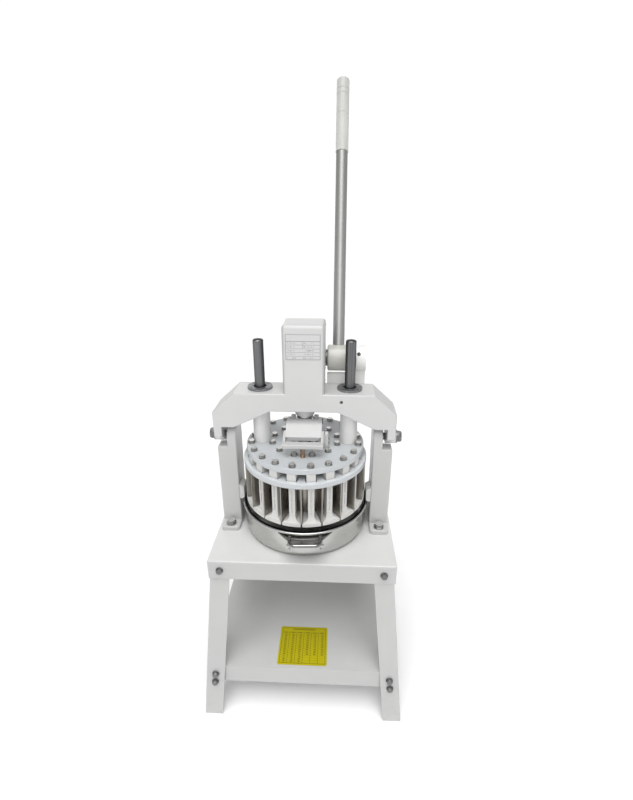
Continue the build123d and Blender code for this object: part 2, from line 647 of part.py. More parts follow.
# Gear case behind the box and the bracket that holds the outer end of the shaft
def build_case(casting):
    cave_r = PITCH_R + MODULE + CASE_PLAY
    shell_r = cave_r + CASE_WALL
    inner = CASE_INNER_W / 2
    plate_low = SHAFT_H - shell_r - CASE_HEM
    plate_top = BOX_TOP - BOX_EDGE_R
    case = block(-BOX_W / 2, BOX_W / 2, CASE_BACK, CASE_BACK + CASE_PLATE, plate_low, plate_top)
    case += block(-CASE_OUTER, CASE_OUTER, CASE_BACK, SHAFT_Y, SHAFT_H - shell_r, SHAFT_H + shell_r)
    case += rod_x(-CASE_OUTER, CASE_OUTER, SHAFT_Y, SHAFT_H, shell_r)
    case -= rod_x(-inner, inner, SHAFT_Y, SHAFT_H, cave_r)
    case -= block(-inner, inner, 0, SHAFT_Y, SHAFT_H - cave_r, SHAFT_H + cave_r)
    case &= block(-BOX_W, BOX_W, CASE_BACK, SHAFT_Y + 2 * shell_r, 0, BOX_TOP)
    case -= rod_x(-BOX_W, BOX_W, SHAFT_Y, SHAFT_H, SHAFT_BUSH_R + SEAT / 4)

    screw_x = (BOX_W - BOX_WALL) / 2
    screws = []
    face = CASE_BACK + CASE_PLATE
    above = SHAFT_BUSH_R + 2 * CASE_SCREW_HEAD_R
    heights = (plate_low + CASE_SCREW_END, SHAFT_H - above, SHAFT_H + above, plate_top - CASE_SCREW_END)
    shank_l = CASE_PLATE + CASE_SCREW_BITE
    head = extrude(Circle(CASE_SCREW_HEAD_R), M5[1])
    head -= Pos(0, 0, M5[1] / 2) * extrude(RegularPolygon(CASE_SCREW_R, 6), M5[1])
    screw = head + Pos(0, 0, -shank_l) * Cylinder(CASE_SCREW_R, shank_l, align=LOW)
    for x in (-screw_x, screw_x):
        for z in heights:
            hole = rod_y(x, face - shank_l - CUT, 2 * face, z, CASE_SCREW_R + SEAT / 2)
            case -= hole
            casting -= hole
            screws.append(Pos(x, face, z) * toward_y(1) * screw)

    eye_low = YOKE_TOP - BRACKET_DROP
    outline = [(CASE_BACK, eye_low), (SHAFT_Y + BRACKET_EYE_R - BRACKET_TAPER, eye_low),
               (SHAFT_Y + BRACKET_EYE_R, SHAFT_H), (CASE_BACK, SHAFT_H)]
    bracket = slab_yz(outline, BRACKET_X0, BRACKET_X1)
    bracket += rod_x(BRACKET_X0, BRACKET_X1, SHAFT_Y, SHAFT_H, BRACKET_EYE_R)
    web_top = SHAFT_H - HUB_R - BRACKET_GAP
    bracket += block(HUB_X0, BRACKET_X1, CASE_BACK, CASE_BACK + BRACKET_WEB_T, eye_low, web_top)
    bracket -= rod_x(BRACKET_X0 - CUT, BRACKET_X1 + CUT, SHAFT_Y, SHAFT_H, SHAFT_BUSH_R + SEAT / 4)

    bolts = []
    bolt_z = (eye_low + YOKE_TOP) / 2
    shank = BRACKET_WEB_T + BRACKET_BOLT_BITE
    for x in (HUB_X0 + BRACKET_BOLT_IN, BRACKET_X0 - BRACKET_BOLT_IN):
        hole = rod_y(x, CASE_BACK - BRACKET_BOLT_BITE - CUT, 2 * CASE_BACK, bolt_z, M8[2] + HOLE)
        bracket -= hole
        casting -= hole
        bolts.append(Pos(x, CASE_BACK + BRACKET_WEB_T, bolt_z) * toward_y(1) * bolt(M8, shank))

    clamp_x = BRACKET_X0 + CLAMP_SCREW_IN
    clamp_z = SHAFT_H + CLAMP_SCREW_RISE
    clamp_y = SHAFT_Y - sqrt(BRACKET_EYE_R ** 2 - CLAMP_SCREW_RISE ** 2) + CUT
    bracket -= rod_y(clamp_x, 0, clamp_y + CLAMP_SCREW_L, clamp_z, M8[2] + SEAT / 2)
    bolts.append(Pos(clamp_x, clamp_y, clamp_z) * toward_y(-1) * socket_screw(M8[2], CLAMP_SCREW_L, M8[2]))

    bushes = []
    for x0, x1 in ((-CASE_OUTER, -inner), (inner, CASE_OUTER), (BRACKET_X0, BRACKET_X1)):
        ring = rod_x(x0, x1, SHAFT_Y, SHAFT_H, SHAFT_BUSH_R)
        bushes.append(ring - rod_x(x0 - CUT, x1 + CUT, SHAFT_Y, SHAFT_H, SHAFT_R + RUN))

    pieces["yoke_casting"] = casting
    pieces["gear_case"] = case
    pieces["case_screws"] = screws
    pieces["shaft_bracket"] = bracket
    pieces["bracket_bolts"] = bolts
    pieces["shaft_bushes"] = bushes


def gear_outline():
    """Involute teeth about the shaft, thinned for backlash, one pointing at the rack."""
    base_r = PITCH_R * cos(radians(PRESSURE_ANGLE))
    tip_r = PITCH_R + MODULE
    root_r = PITCH_R - ROOT_DEPTH * MODULE
    half_pitch = (pi * MODULE / 2 - BACKLASH) / (2 * PITCH_R)
    spread = tan(radians(PRESSURE_ANGLE)) - radians(PRESSURE_ANGLE)
    flank = []
    for k in range(FLANK_STEPS + 1):
        r = base_r + (tip_r - base_r) * k / FLANK_STEPS
        slope = acos(base_r / r)
        flank.append((r, half_pitch + spread - (tan(slope) - slope)))
    flank.insert(0, (root_r, flank[0][1]))
    points = []
    for tooth in range(TEETH):
        middle = pi + 2 * pi * tooth / TEETH
        rising = [(r, middle - turn) for r, turn in flank]
        falling = [(r, middle + turn) for r, turn in reversed(flank)]
        points += [(r * cos(a), r * sin(a)) for r, a in rising + falling]
    return points


# Shaft, pinion and hand lever
def build_lever():
    shaft = rod_x(-CASE_OUTER, BRACKET_X1, SHAFT_Y, SHAFT_H, SHAFT_R)
    key_x = PINION_W / 2 - KEY_END
    key_low = SHAFT_H + SHAFT_R - KEY_SINK
    key_top = key_low + KEY_H
    side = KEY_W / 2
    key = block(-key_x, key_x, SHAFT_Y - side, SHAFT_Y + side, key_low, key_top)
    side += SEAT / 4
    key_x += SEAT
    shaft -= block(-key_x, key_x, SHAFT_Y - side, SHAFT_Y + side, key_low - SEAT / 4, key_top + SEAT)
    pieces["pinion_shaft"] = shaft
    pieces["pinion_key"] = key

    teeth = Plane.YZ * Pos(SHAFT_Y, SHAFT_H) * Polygon(*gear_outline(), align=None)
    wheel = extrude(teeth, PINION_W / 2, both=True)
    wheel -= rod_x(-PINION_W, PINION_W, SHAFT_Y, SHAFT_H, SHAFT_R + SEAT / 4)
    wheel -= block(-PINION_W, PINION_W, SHAFT_Y - side, SHAFT_Y + side, SHAFT_H, key_top + SEAT)
    pieces["pinion_gear"] = wheel

    hub = fillet(rod_x(HUB_X0, HUB_X1, SHAFT_Y, SHAFT_H, HUB_R).edges(), HUB_EDGE_R)
    hub -= rod_x(HUB_X0 - CUT, HUB_X1 + CUT, SHAFT_Y, SHAFT_H, SHAFT_R + SEAT / 4)
    start = SHAFT_R + TUBE_STOP
    axis = Plane(origin=Vector(TUBE_X, SHAFT_Y, SHAFT_H), x_dir=(1, 0, 0), z_dir=LEVER_DIR)
    hub -= axis * Pos(0, 0, start) * Cylinder(TUBE_R + SEAT / 4, HUB_R, align=LOW)

    screw_at = axis * Pos(0, 0, (start + HUB_R) / 2)
    screw_end = HUB_X1 - TUBE_X - HUB_SCREW_SINK
    hub -= screw_at * Rot(0, 90, 0) * Cylinder(HUB_SCREW_R + SEAT / 2, HUB_L, align=LOW)
    screw = socket_screw(HUB_SCREW_R, screw_end - TUBE_R - SEAT, HUB_SCREW_R)
    pieces["hub_screw"] = screw_at * Pos(screw_end, 0, 0) * Rot(0, 90, 0) * screw
    pieces["lever_hub"] = hub

    collar = rod_x(BOX_W / 2 + BODY, HUB_X0, SHAFT_Y, SHAFT_H, COLLAR_R)
    pieces["shaft_collar"] = collar - rod_x(0, HUB_X1, SHAFT_Y, SHAFT_H, SHAFT_R + SEAT / 4)

    tube_l = LEVER_L - GRIP_END - start
    tube = Cylinder(TUBE_R, tube_l, align=LOW) - Cylinder(TUBE_R - TUBE_WALL, 3 * tube_l)
    pieces["lever_tube"] = axis * Pos(0, 0, start) * tube

    grip = Cylinder(GRIP_R, GRIP_L, align=LOW)
    grip = fillet(grip.edges().sort_by(Axis.Z)[-1], GRIP_EDGE_R)
    grip -= Pos(0, 0, -CUT) * Cylinder(TUBE_R + SEAT / 4, GRIP_L - GRIP_END + CUT + SEAT, align=LOW)
    grip -= [Pos(0, 0, GRIP_L - back) * Torus(GRIP_R, GROOVE_R) for back in GRIP_GROOVES]
    pieces["lever_grip"] = axis * Pos(0, 0, LEVER_L - GRIP_L) * grip


# Ram with its rack, knife disc and knives
def build_ram():
    ram = rod_z(0, 0, KNIFE_TOP, RAM_TOP, RAM_R)
    pitch = pi * MODULE
    slope = tan(radians(PRESSURE_ANGLE))
    root_y = RACK_PITCH_Y - ROOT_DEPTH * MODULE
    open_y = RACK_PITCH_Y + 2 * MODULE
    low = pitch / 4 - ROOT_DEPTH * MODULE * slope
    high = pitch / 4 + 2 * MODULE * slope
    rack_low = SHAFT_H - (RACK_BELOW + 0.5) * pitch
    ram -= block(-RAM_R, RAM_R, RACK_FLAT, 2 * RAM_R, rack_low, BOX_TOP)
    for k in range(int((RAM_TOP - rack_low) / pitch)):
        z = SHAFT_H + (k - RACK_BELOW) * pitch
        outline = [(root_y, z - low), (root_y, z + low), (open_y, z + high), (open_y, z - high)]
        ram -= slab_yz(outline, -RAM_R, RAM_R)
    groove_z = PIN_Z + CATCH_RISE
    groove = rod_z(0, 0, groove_z - CATCH_W / 2, groove_z + CATCH_W / 2, 2 * RAM_R)
    ram -= groove - rod_z(0, 0, 0, BOX_TOP, RAM_R - CATCH_DEPTH)
    spigot_low = NUT_LOW - THREAD_END
    ram += rod_z(0, 0, spigot_low, KNIFE_TOP, SPIGOT_R)
    pieces["ram_rack"] = ram
    pieces["ram_nut"] = Pos(0, 0, NUT_LOW) * nut(M20, M20[1])

    disc = rod_z(0, 0, KNIFE_BOTTOM, KNIFE_TOP, KNIFE_DISC_R) - rod_z(0, 0, 0, BOX_TOP, SPIGOT_R + SEAT / 2)
    for ring, count in enumerate(RING_COUNTS):
        depth, width = neck_size(ring)
        window = Box(depth + 2 * SLIDE, width + 2 * WINDOW_PLAY, 4 * KNIFE_DISC_T)
        disc -= on_ring(count, stem_radius(ring), KNIFE_BOTTOM, window, pusher_turn(count))
    disc = fillet(disc.edges().filter_by(GeomType.CIRCLE).sort_by(SortBy.RADIUS)[-2:], DISC_EDGE_R)
    pieces["knife_disc"] = disc

    inner_ring, outer_ring, rim = cell_radii()
    for name, radius in (("inner", inner_ring), ("outer", outer_ring)):
        wall = rod_z(0, 0, KNIFE_EDGE, KNIFE_BOTTOM, radius + KNIFE_T / 2)
        pieces[f"knife_ring_{name}"] = wall - rod_z(0, 0, 0, BOX_TOP, radius - KNIFE_T / 2)

    step = KNIFE_T / 2 + BODY
    starts = (KNIFE_T, inner_ring + step, outer_ring + step)
    ends = (inner_ring - step, outer_ring - step, rim)
    nut_space = rod_z(0, 0, spigot_low - THREAD_END, KNIFE_TOP, M20[0] * WASHER_R + CUT)
    for name, count, (start, end) in zip(("inner", "middle", "outer"), RING_COUNTS, zip(starts, ends)):
        blade = block(start, end, -KNIFE_T / 2, KNIFE_T / 2, KNIFE_EDGE, KNIFE_BOTTOM)
        if name == "inner":
            blade -= nut_space
        if name == "outer":
            low_end = blade.edges().filter_by(Axis.Y).group_by(Axis.X)[-1].sort_by(Axis.Z)[0]
            blade = fillet(low_end, KNIFE_CORNER)
        pieces[f"knives_{name}"] = on_ring(count, 0, 0, blade, -90)


def cell_radii():
    """Outer radii of the three rings of cells, all cells of one area."""
    total = sum(RING_COUNTS)
    return [PUSHER_R * sqrt(sum(RING_COUNTS[:k + 1]) / total) for k in range(len(RING_COUNTS))]


def stem_radius(ring):
    """Where the stems of a ring of pushers stand."""
    return cell_radii()[ring] - STEM_SETBACK


def pusher_turn(count):
    """Angle of the first pusher, half a step from the front knife."""
    return 180.0 / count - 90


def neck_size(ring):
    """Depth and width of the part of a stem that runs in the knife disc."""
    if ring == 0:
        return NECK_INNER, NECK_INNER
    return NECK_D, NECK_W


# Press disc, pushers and guide rods
def build_press():
    disc = rod_z(0, 0, PRESS_BOTTOM, PRESS_TOP, PRESS_DISC_R)
    disc = fillet(disc.edges().filter_by(GeomType.CIRCLE), DISC_EDGE_R)
    disc -= rod_z(0, 0, 0, BOX_TOP, RAM_R + SLIDE)

    inner_ring, outer_ring, rim = cell_radii()
    step = KNIFE_T / 2 + KNIFE_GAP
    starts = (2 * KNIFE_T, inner_ring + step, outer_ring + step)
    ends = (inner_ring - step, outer_ring - step, rim)
    spans = list(zip(starts, ends))
    bolts = []
    for ring, (name, count) in enumerate(zip(("inner", "middle", "outer"), RING_COUNTS)):
        radius = stem_radius(ring)
        turn = pusher_turn(count)
        pusher = make_pusher(ring, count, spans[ring], step)
        pieces[f"pushers_{name}"] = on_ring(count, 0, 0, pusher, turn)
        disc -= on_ring(count, radius, PRESS_BOTTOM, Cylinder(M8[2] + HOLE, 4 * PRESS_DISC_T), turn)
        bolts += on_ring(count, radius, PRESS_TOP, bolt(M8, PRESS_DISC_T + BOLT_GRIP - THREAD_END), turn)
    pieces["pusher_bolts"] = bolts

    for name, x in (("left", -GUIDE_X), ("right", GUIDE_X)):
        disc -= rod_z(x, 0, 0, BOX_TOP, GUIDE_SPIGOT_R + SEAT / 4)
        rod = rod_z(x, 0, PRESS_TOP, GUIDE_ROD_TOP, GUIDE_ROD_R)
        rod = chamfer(rod.edges().sort_by(Axis.Z)[-1], ROD_CHAMFER)
        pieces[f"guide_rod_{name}"] = rod + rod_z(x, 0, PRESS_BOTTOM + BODY, PRESS_TOP, GUIDE_SPIGOT_R)
    pieces["press_disc"] = disc


def make_pusher(ring, count, span, step):
    """Sector shoe, flared stem and square neck, pointing along +X."""
    half = radians(180.0 / count)
    r_in, r_out = span
    apex = step / sin(half)
    far = 2 * r_out
    edge_x = apex + far * cos(half)
    edge_y = far * sin(half)
    wedge = Polygon((apex, 0), (edge_x, -edge_y), (edge_x, edge_y), align=None)
    sector = (wedge & Circle(r_out)) - Circle(r_in)
    shoe_top = PUSHER_BOTTOM + SHOE_T
    shoe = Pos(0, 0, PUSHER_BOTTOM) * extrude(sector, SHOE_T)

    radius = stem_radius(ring)
    neck_d, neck_w = neck_size(ring)
    stem_d = min(STEM_D, neck_d)
    stem_w = min(STEM_W, neck_w)
    near = max(r_in, apex) + 3 * FLARE_EDGE
    away = r_out * cos(half) - FLARE_EDGE
    wide = [(x, max((x - apex) * tan(half) - FLARE_EDGE, FLARE_EDGE)) for x in (near, away)]
    slim = [(radius - stem_d / 2, stem_w / 2), (radius + stem_d / 2, stem_w / 2)]
    waist = [(a + FLARE_IN * (c - a), b + FLARE_IN * (d - b)) for (a, b), (c, d) in zip(wide, slim)]
    levels = ((shoe_top, wide), (shoe_top + WAIST_H, waist), (shoe_top + FLARE_H, slim))
    faces = []
    for z, ((x0, y0), (x1, y1)) in levels:
        faces.append(Pos(0, 0, z) * Polygon((x0, -y0), (x1, -y1), (x1, y1), (x0, y0), align=None))
    flare = loft(faces, ruled=True)

    neck_low = KNIFE_BOTTOM - NECK_BELOW
    stem = Pos(radius, 0, shoe_top + FLARE_H) * Box(stem_d, stem_w, neck_low - shoe_top - FLARE_H, align=LOW)
    neck = Pos(radius, 0, neck_low) * Box(neck_d, neck_w, PRESS_BOTTOM - neck_low, align=LOW)
    pusher = shoe + flare + stem + neck
    if ring == len(RING_COUNTS) - 1:
        face_x = radius + stem_d / 2
        middle = (shoe_top + FLARE_H + neck_low) / 2
        slot_h = (neck_low - shoe_top - FLARE_H) * SLOT_SHARE
        pusher -= Pos(face_x, 0, middle) * Box(2 * SLOT_DEPTH, SLOT_W, slot_h)
        pusher += rod_x(face_x - 2 * SLOT_DEPTH, face_x + SEAT, 0, middle, DOT_R)
    return pusher - rod_z(radius, 0, PRESS_BOTTOM - BOLT_GRIP, PRESS_TOP, M8[2] + SEAT / 2)


# Release paddle on the press disc
def build_paddle():
    arm_in = PADDLE_W / 2
    arm_out = arm_in + PADDLE_ARM_T
    bar_low = PRESS_TOP + PADDLE_BAR_LIFT
    bar_top = bar_low + PADDLE_BAR_H
    front = -PADDLE_BAR_FRONT
    back = front + PADDLE_BAR_D
    catch_y = -RAM_R - SLIDE

    crest = PIN_Z + PADDLE_EYE_R + PADDLE_CREST
    brow = crest - PADDLE_BAR_R
    lip_top = PRESS_TOP + PADDLE_LIP_RISE
    lip_low = lip_top - PADDLE_LIP_H
    paddle = block(-arm_out, arm_out, front, back, bar_low, bar_top)
    paddle = fillet(paddle.edges().filter_by(Axis.X), PADDLE_BAR_R)
    outline = [(catch_y, crest), (-PADDLE_BROW_Y, brow), (-PADDLE_LIP_Y, lip_top),
               (-PADDLE_LIP_Y, lip_low), (PADDLE_LIP_T - PADDLE_LIP_Y, lip_low),
               (catch_y, crest - PADDLE_T)]
    plate = slab_yz(outline, -arm_in - CUT, arm_in + CUT)
    brow_edge = plate.edges().filter_by(Axis.X).sort_by_distance((0, -PADDLE_BROW_Y, brow))[0]
    plate = fillet(brow_edge, PADDLE_BROW_R)
    for side in (-1, 1):
        corner = side * arm_in
        notch = [(corner, lip_top), (corner, lip_low - CUT), (corner - side * PADDLE_NOTCH_W, lip_low - CUT)]
        plate -= Pos(0, -PADDLE_LIP_Y, 0) * slab_xz(notch, PADDLE_LIP_T)
    paddle += plate

    eye_in = arm_in - PADDLE_ARM_T
    arm = [(back - PADDLE_BAR_R, bar_low), (back - PADDLE_BAR_R, bar_top),
           (-PADDLE_ARM_END, lip_top + PADDLE_LIP_H), (-PADDLE_ARM_END, lip_top)]
    strut = [(-PADDLE_BROW_Y, crest - PADDLE_T), (catch_y, brow),
             (0, PIN_Z + PADDLE_EYE_R), (0, PIN_Z - PADDLE_EYE_R)]
    side = slab_yz(arm, arm_in, arm_out) + slab_yz(strut, eye_in, arm_in)
    side += rod_x(eye_in, arm_in, 0, PIN_Z, PADDLE_EYE_R)
    paddle += [side, mirrored(side)]
    pieces["release_paddle"] = paddle - rod_x(-2 * arm_out, 2 * arm_out, 0, PIN_Z, PADDLE_PIN_R + RUN)

    cheek_out = eye_in - CHEEK_GAP
    cheek_in = cheek_out - CHEEK_T
    cheek_z = PIN_Z + CHEEK_RISE
    cheek = block(cheek_in, cheek_out, -PADDLE_EYE_R, PADDLE_EYE_R, PRESS_TOP, cheek_z)
    cheek += rod_x(cheek_in, cheek_out, 0, cheek_z, PADDLE_EYE_R)
    ends = cheek.faces().filter_by(Axis.X)
    foot = cheek.faces().sort_by(Axis.Z)[0]
    cheek = fillet(ends.edges() - foot.edges(), CHEEK_EDGE_R)
    cheek -= rod_x(cheek_in - CUT, cheek_out + CUT, 0, PIN_Z, PADDLE_PIN_R + SEAT / 4)
    post_in = arm_out + CHEEK_GAP
    post_top = PRESS_TOP + POST_H
    post = block(post_in, post_in + POST_W, -POST_FRONT, POST_D - POST_FRONT, PRESS_TOP, post_top)
    post = fillet(post.faces().sort_by(Axis.Z)[-1].edges(), CHEEK_EDGE_R)
    pieces["paddle_cheeks"] = [cheek, mirrored(cheek), post]

    head_x = arm_in + BODY
    pin = rod_x(cheek_in, head_x, 0, PIN_Z, PADDLE_PIN_R)
    pin += rod_x(head_x, head_x + PIN_HEAD_T, 0, PIN_Z, PIN_HEAD_R)
    pieces["paddle_pins"] = [pin, mirrored(pin)]
    build_spring((front + back) / 2, PRESS_TOP + BODY, bar_low - BODY)


def biarc(start, start_dir, end, end_dir):
    """Two arcs from start to end that keep both directions."""
    run = end - start
    both = start_dir + end_dir
    a = 2 * (1 - start_dir.dot(end_dir))
    b = run.dot(both)
    reach = (sqrt(b * b + a * run.dot(run)) - b) / a
    first = start + start_dir * reach
    second = end - end_dir * reach
    joint = (first + second) * 0.5
    arcs = []
    for begin, corner, finish in ((start, first, joint), (joint, second, end)):
        middle = (begin + finish) * 0.5
        chord = (finish - begin).length / 2
        arcs.append(ThreePointArc(begin, middle + (corner - middle) * (chord / (reach + chord)), finish))
    return arcs


def build_spring(y, low, high):
    """Coil spring under the paddle bar, one swept tube."""
    low += SPRING_WIRE
    high -= SPRING_WIRE
    pitch = (high - low) / SPRING_TURNS
    climb = pitch / (2 * pi)
    quarters = 4 * SPRING_TURNS

    def at(turn):
        return Vector(SPRING_R * cos(turn), y + SPRING_R * sin(turn), low + climb * turn)

    def heading(turn):
        return Vector(-SPRING_R * sin(turn), SPRING_R * cos(turn), climb).normalized()

    arcs = []
    for k in range(quarters):
        a = k * pi / 2
        b = (k + 1) * pi / 2
        arcs += biarc(at(a), heading(a), at(b), heading(b))
    path = Wire([arc.edge() for arc in arcs])
    section = Plane(at(0), z_dir=heading(0)) * Circle(SPRING_WIRE)
    pieces["paddle_spring"] = sweep(section, path)

    points = [at(k * pi / 18) for k in range(36 * SPRING_TURNS + 1)]
    least = min((p - q).length for i, p in enumerate(points) for q in points[i + 24:])
    print(f"paddle_spring least gap to itself {least - 2 * SPRING_WIRE:.2f} mm")


def write_pieces():
    """Each piece to its own file, moved to the stored origin."""
    os.makedirs("parts", exist_ok=True)
    for name, shape in sorted(pieces.items()):
        solids = []
        for item in shape if isinstance(shape, list) else [shape]:
            solids += item.solids()
        moved = [Pos(0, -ORIGIN_Y, 0) * solid for solid in solids]
        whole = moved[0] if len(moved) == 1 else Compound(children=moved)
        whole.label = name
        export_step(whole, os.path.join("parts", f"{name}.step"))
    print(f"{len(pieces)} pieces, press axis at Y {-ORIGIN_Y:.2f}, shaft at Y {SHAFT_Y - ORIGIN_Y:.2f}")


build_stand()
build_pan()
build_case(build_yoke())
build_lever()
build_ram()
build_press()
build_paddle()
write_pieces()
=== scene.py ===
"""Finishes and trim for the hand-lever dough divider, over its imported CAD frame."""

import json
import math

import bmesh
import bpy
from bpy.props import FloatProperty, FloatVectorProperty, IntProperty, PointerProperty
from mathutils import Euler, Matrix, Vector


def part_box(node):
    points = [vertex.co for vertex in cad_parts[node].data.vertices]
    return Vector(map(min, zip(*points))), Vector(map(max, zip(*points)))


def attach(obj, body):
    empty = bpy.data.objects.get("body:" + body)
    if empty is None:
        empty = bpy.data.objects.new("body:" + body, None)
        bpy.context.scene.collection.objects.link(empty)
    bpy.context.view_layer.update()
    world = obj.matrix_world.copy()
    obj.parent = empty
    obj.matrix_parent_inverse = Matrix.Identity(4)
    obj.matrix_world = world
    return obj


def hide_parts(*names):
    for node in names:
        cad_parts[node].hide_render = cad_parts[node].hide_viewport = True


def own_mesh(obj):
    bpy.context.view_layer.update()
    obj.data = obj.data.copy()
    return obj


bl_info = {
    "name": "Dough divider finishes",
    "version": (1, 0, 0),
    "blender": (4, 5, 0),
    "location": "View3D > Sidebar > Divider",
    "description": "Paints the divider's CAD nodes and adds its spring, plates and small screws",
    "category": "Object",
}

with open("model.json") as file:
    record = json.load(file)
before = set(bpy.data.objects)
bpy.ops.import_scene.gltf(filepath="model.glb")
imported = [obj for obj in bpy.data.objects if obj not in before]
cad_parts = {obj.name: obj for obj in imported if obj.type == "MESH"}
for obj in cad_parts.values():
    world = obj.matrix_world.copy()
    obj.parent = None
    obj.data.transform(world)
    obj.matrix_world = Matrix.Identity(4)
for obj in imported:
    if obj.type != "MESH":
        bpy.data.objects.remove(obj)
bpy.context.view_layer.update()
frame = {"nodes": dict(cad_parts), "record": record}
SLOT_COLOUR = {m["slot"]: tuple(m["base_color"]) for m in frame["record"]["materials"]}
NODE_SLOT = {s["node"]: s["material_slot"] for s in frame["record"]["subparts"]}
MM = 0.001
LEVER_TURN = (math.radians(-20.0), 0.0, 0.0)  # from upright to the lever's rest
FRAME_COAT = (0.30, 0.10)  # roughness and orange peel of the frame's enamel
DISC_COAT = (0.32, 0.12)  # and of the discs' and pushers'
SKIN_GAP = 0.05 * MM  # from a plate or screw to the face under it

NAME_SHIFT = -0.5 * MM  # name plate's middle, from the yoke's
NAME_CORNER = 1.2 * MM
NAME_ROWS = 5
CHART_SHIFT = -1.5 * MM  # chart's middle, from the shelf's
CHART_CORNER = 4.0 * MM
CHART_COLUMNS = 6.0
CORNER_STEPS = 6

COIL_STEPS = 40  # segments of one turn
WIRE_SIDES = 12
HEAD_SIDES = 24
KEY_SIDES = 6
KEY_SHARE = 0.55  # of a screw head's radius

FLOOR_REACH = 12.0
LIGHT_AIM = Vector((0.0, -0.04, 0.6))
CEILING_FROM = Vector((-0.05, -0.98, 2.6))  # from the aim
CEILING_SPREAD = math.radians(44.0)
SENSOR_WIDTH = 36.0
NEAR_CLIP = 0.05
CAMERA_SPOT = (0.0607, -0.90481, 1.0899)
CAMERA_TURN = tuple(math.radians(angle) for angle in (68.03, -0.08, 2.38))
WHITE = (1, 1, 1, 1)
BLACK = (0, 0, 0, 1)


class Link:
    """A node's output that can stand in a Python expression."""

    def __init__(self, tree, socket):
        self.tree = tree
        self.socket = socket

    def math(self, operation, first, second=None):
        inputs = {0: first}
        if second is not None:
            inputs[1] = second
        return self.tree.node("ShaderNodeMath", {"operation": operation}, inputs)

    def __add__(self, other):
        return self.math("ADD", self, other)

    __radd__ = __add__

    def __sub__(self, other):
        return self.math("SUBTRACT", self, other)

    def __rsub__(self, other):
        return self.math("SUBTRACT", other, self)

    def __mul__(self, other):
        return self.math("MULTIPLY", self, other)

    __rmul__ = __mul__

    def __truediv__(self, other):
        return self.math("DIVIDE", self, other)

    def __gt__(self, other):
        return self.math("GREATER_THAN", self, other)

    def __lt__(self, other):
        return self.math("LESS_THAN", self, other)

    def fraction(self):
        return self.math("FRACT", self)

    def size(self):
        return self.math("ABSOLUTE", self)

    def root(self):
        return self.math("SQRT", self)

    def most(self, other):
        return self.math("MAXIMUM", self, other)

    def sine(self):
        return self.math("SINE", self)


class Tree:
    """Adds nodes to a shader or geometry tree."""

    def __init__(self, nodes):
        self.nodes = nodes.nodes
        self.links = nodes.links

    def node(self, kind, settings=None, inputs=None, output=0):
        made = self.nodes.new(kind)
        for key, value in (settings or {}).items():
            if key == "stops":
                ramp = made.color_ramp
                while len(ramp.elements) < len(value):
                    ramp.elements.new(0.5)
                for element, (place, colour) in zip(ramp.elements, value):
                    element.position = place
                    element.color = colour
            else:
                setattr(made, key, value)
        for key, value in (inputs or {}).items():
            if isinstance(value, Link):
                self.links.new(value.socket, made.inputs[key])
            else:
                made.inputs[key].default_value = value
        return Link(self, made.outputs[output]) if made.outputs else None


class Finish(Tree):
    """A material with its object coordinates and the parts that every finish here uses."""

    def __init__(self, name):
        self.material = bpy.data.materials.new(name)
        self.material.use_nodes = True
        super().__init__(self.material.node_tree)
        self.nodes.clear()
        self.place = self.node("ShaderNodeTexCoord", output="Object")

    def axes(self):
        return [self.node("ShaderNodeSeparateXYZ", inputs={0: self.place}, output=k) for k in range(3)]

    def scaled(self, scale, turn=(0.0, 0.0, 0.0)):
        """Object coordinates turned to an axis and then stretched."""
        inputs = {"Vector": self.place, "Rotation": turn, "Scale": tuple(1 / s for s in scale)}
        return self.node("ShaderNodeMapping", {"vector_type": "TEXTURE"}, inputs)

    def noise(self, scale, detail=3.0, rough=0.5, vector=None):
        inputs = {"Vector": vector or self.place, "Scale": scale, "Detail": detail, "Roughness": rough}
        return self.node("ShaderNodeTexNoise", None, inputs)

    def ramp(self, value, low, high):
        stops = [(low, BLACK), (high, WHITE)]
        colour = self.node("ShaderNodeValToRGB", {"stops": stops}, {"Fac": value})
        return self.node("ShaderNodeRGBToBW", None, {"Color": colour})

    def blend(self, share, first, second):
        settings = {"data_type": "RGBA", "blend_type": "MIX"}
        first = first if isinstance(first, Link) else (*first, 1.0)
        second = second if isinstance(second, Link) else (*second, 1.0)
        return self.node("ShaderNodeMix", settings, {0: share, 6: first, 7: second}, output=2)

    def shade(self, share, base, factor):
        """A colour times a factor, where share is 1."""
        settings = {"data_type": "RGBA", "blend_type": "MULTIPLY"}
        second = (factor, factor, factor, 1.0)
        return self.node("ShaderNodeMix", settings, {0: share, 6: base, 7: second}, output=2)

    def facing(self, axis):
        """How far a face points along one of the piece's own axes, from -1 to 1."""
        normal = self.node("ShaderNodeTexCoord", output="Normal")
        return self.node("ShaderNodeSeparateXYZ", inputs={0: normal}, output=axis)

    def bump(self, height, strength, distance):
        inputs = {"Strength": strength, "Distance": distance, "Height": height}
        return self.node("ShaderNodeBump", None, inputs)

    def surface(self, **inputs):
        names = {"colour": "Base Color", "rough": "Roughness", "metal": "Metallic", "normal": "Normal",
                 "coat": "Coat Weight", "coat_rough": "Coat Roughness", "specular": "Specular IOR Level",
                 "edge": "Specular Tint"}
        values = {}
        for key, value in inputs.items():
            plain = key in ("colour", "edge") and not isinstance(value, Link)
            values[names[key]] = (*value, 1.0) if plain else value
        shader = self.node("ShaderNodeBsdfPrincipled", None, values)
        self.node("ShaderNodeOutputMaterial", None, {"Surface": shader})
        return self.material


def tint(colour, factor):
    """A colour times one factor, or times one for each channel."""
    factors = factor if isinstance(factor, tuple) else (factor,) * 3
    return tuple(min(1.0, c * f) for c, f in zip(colour, factors))


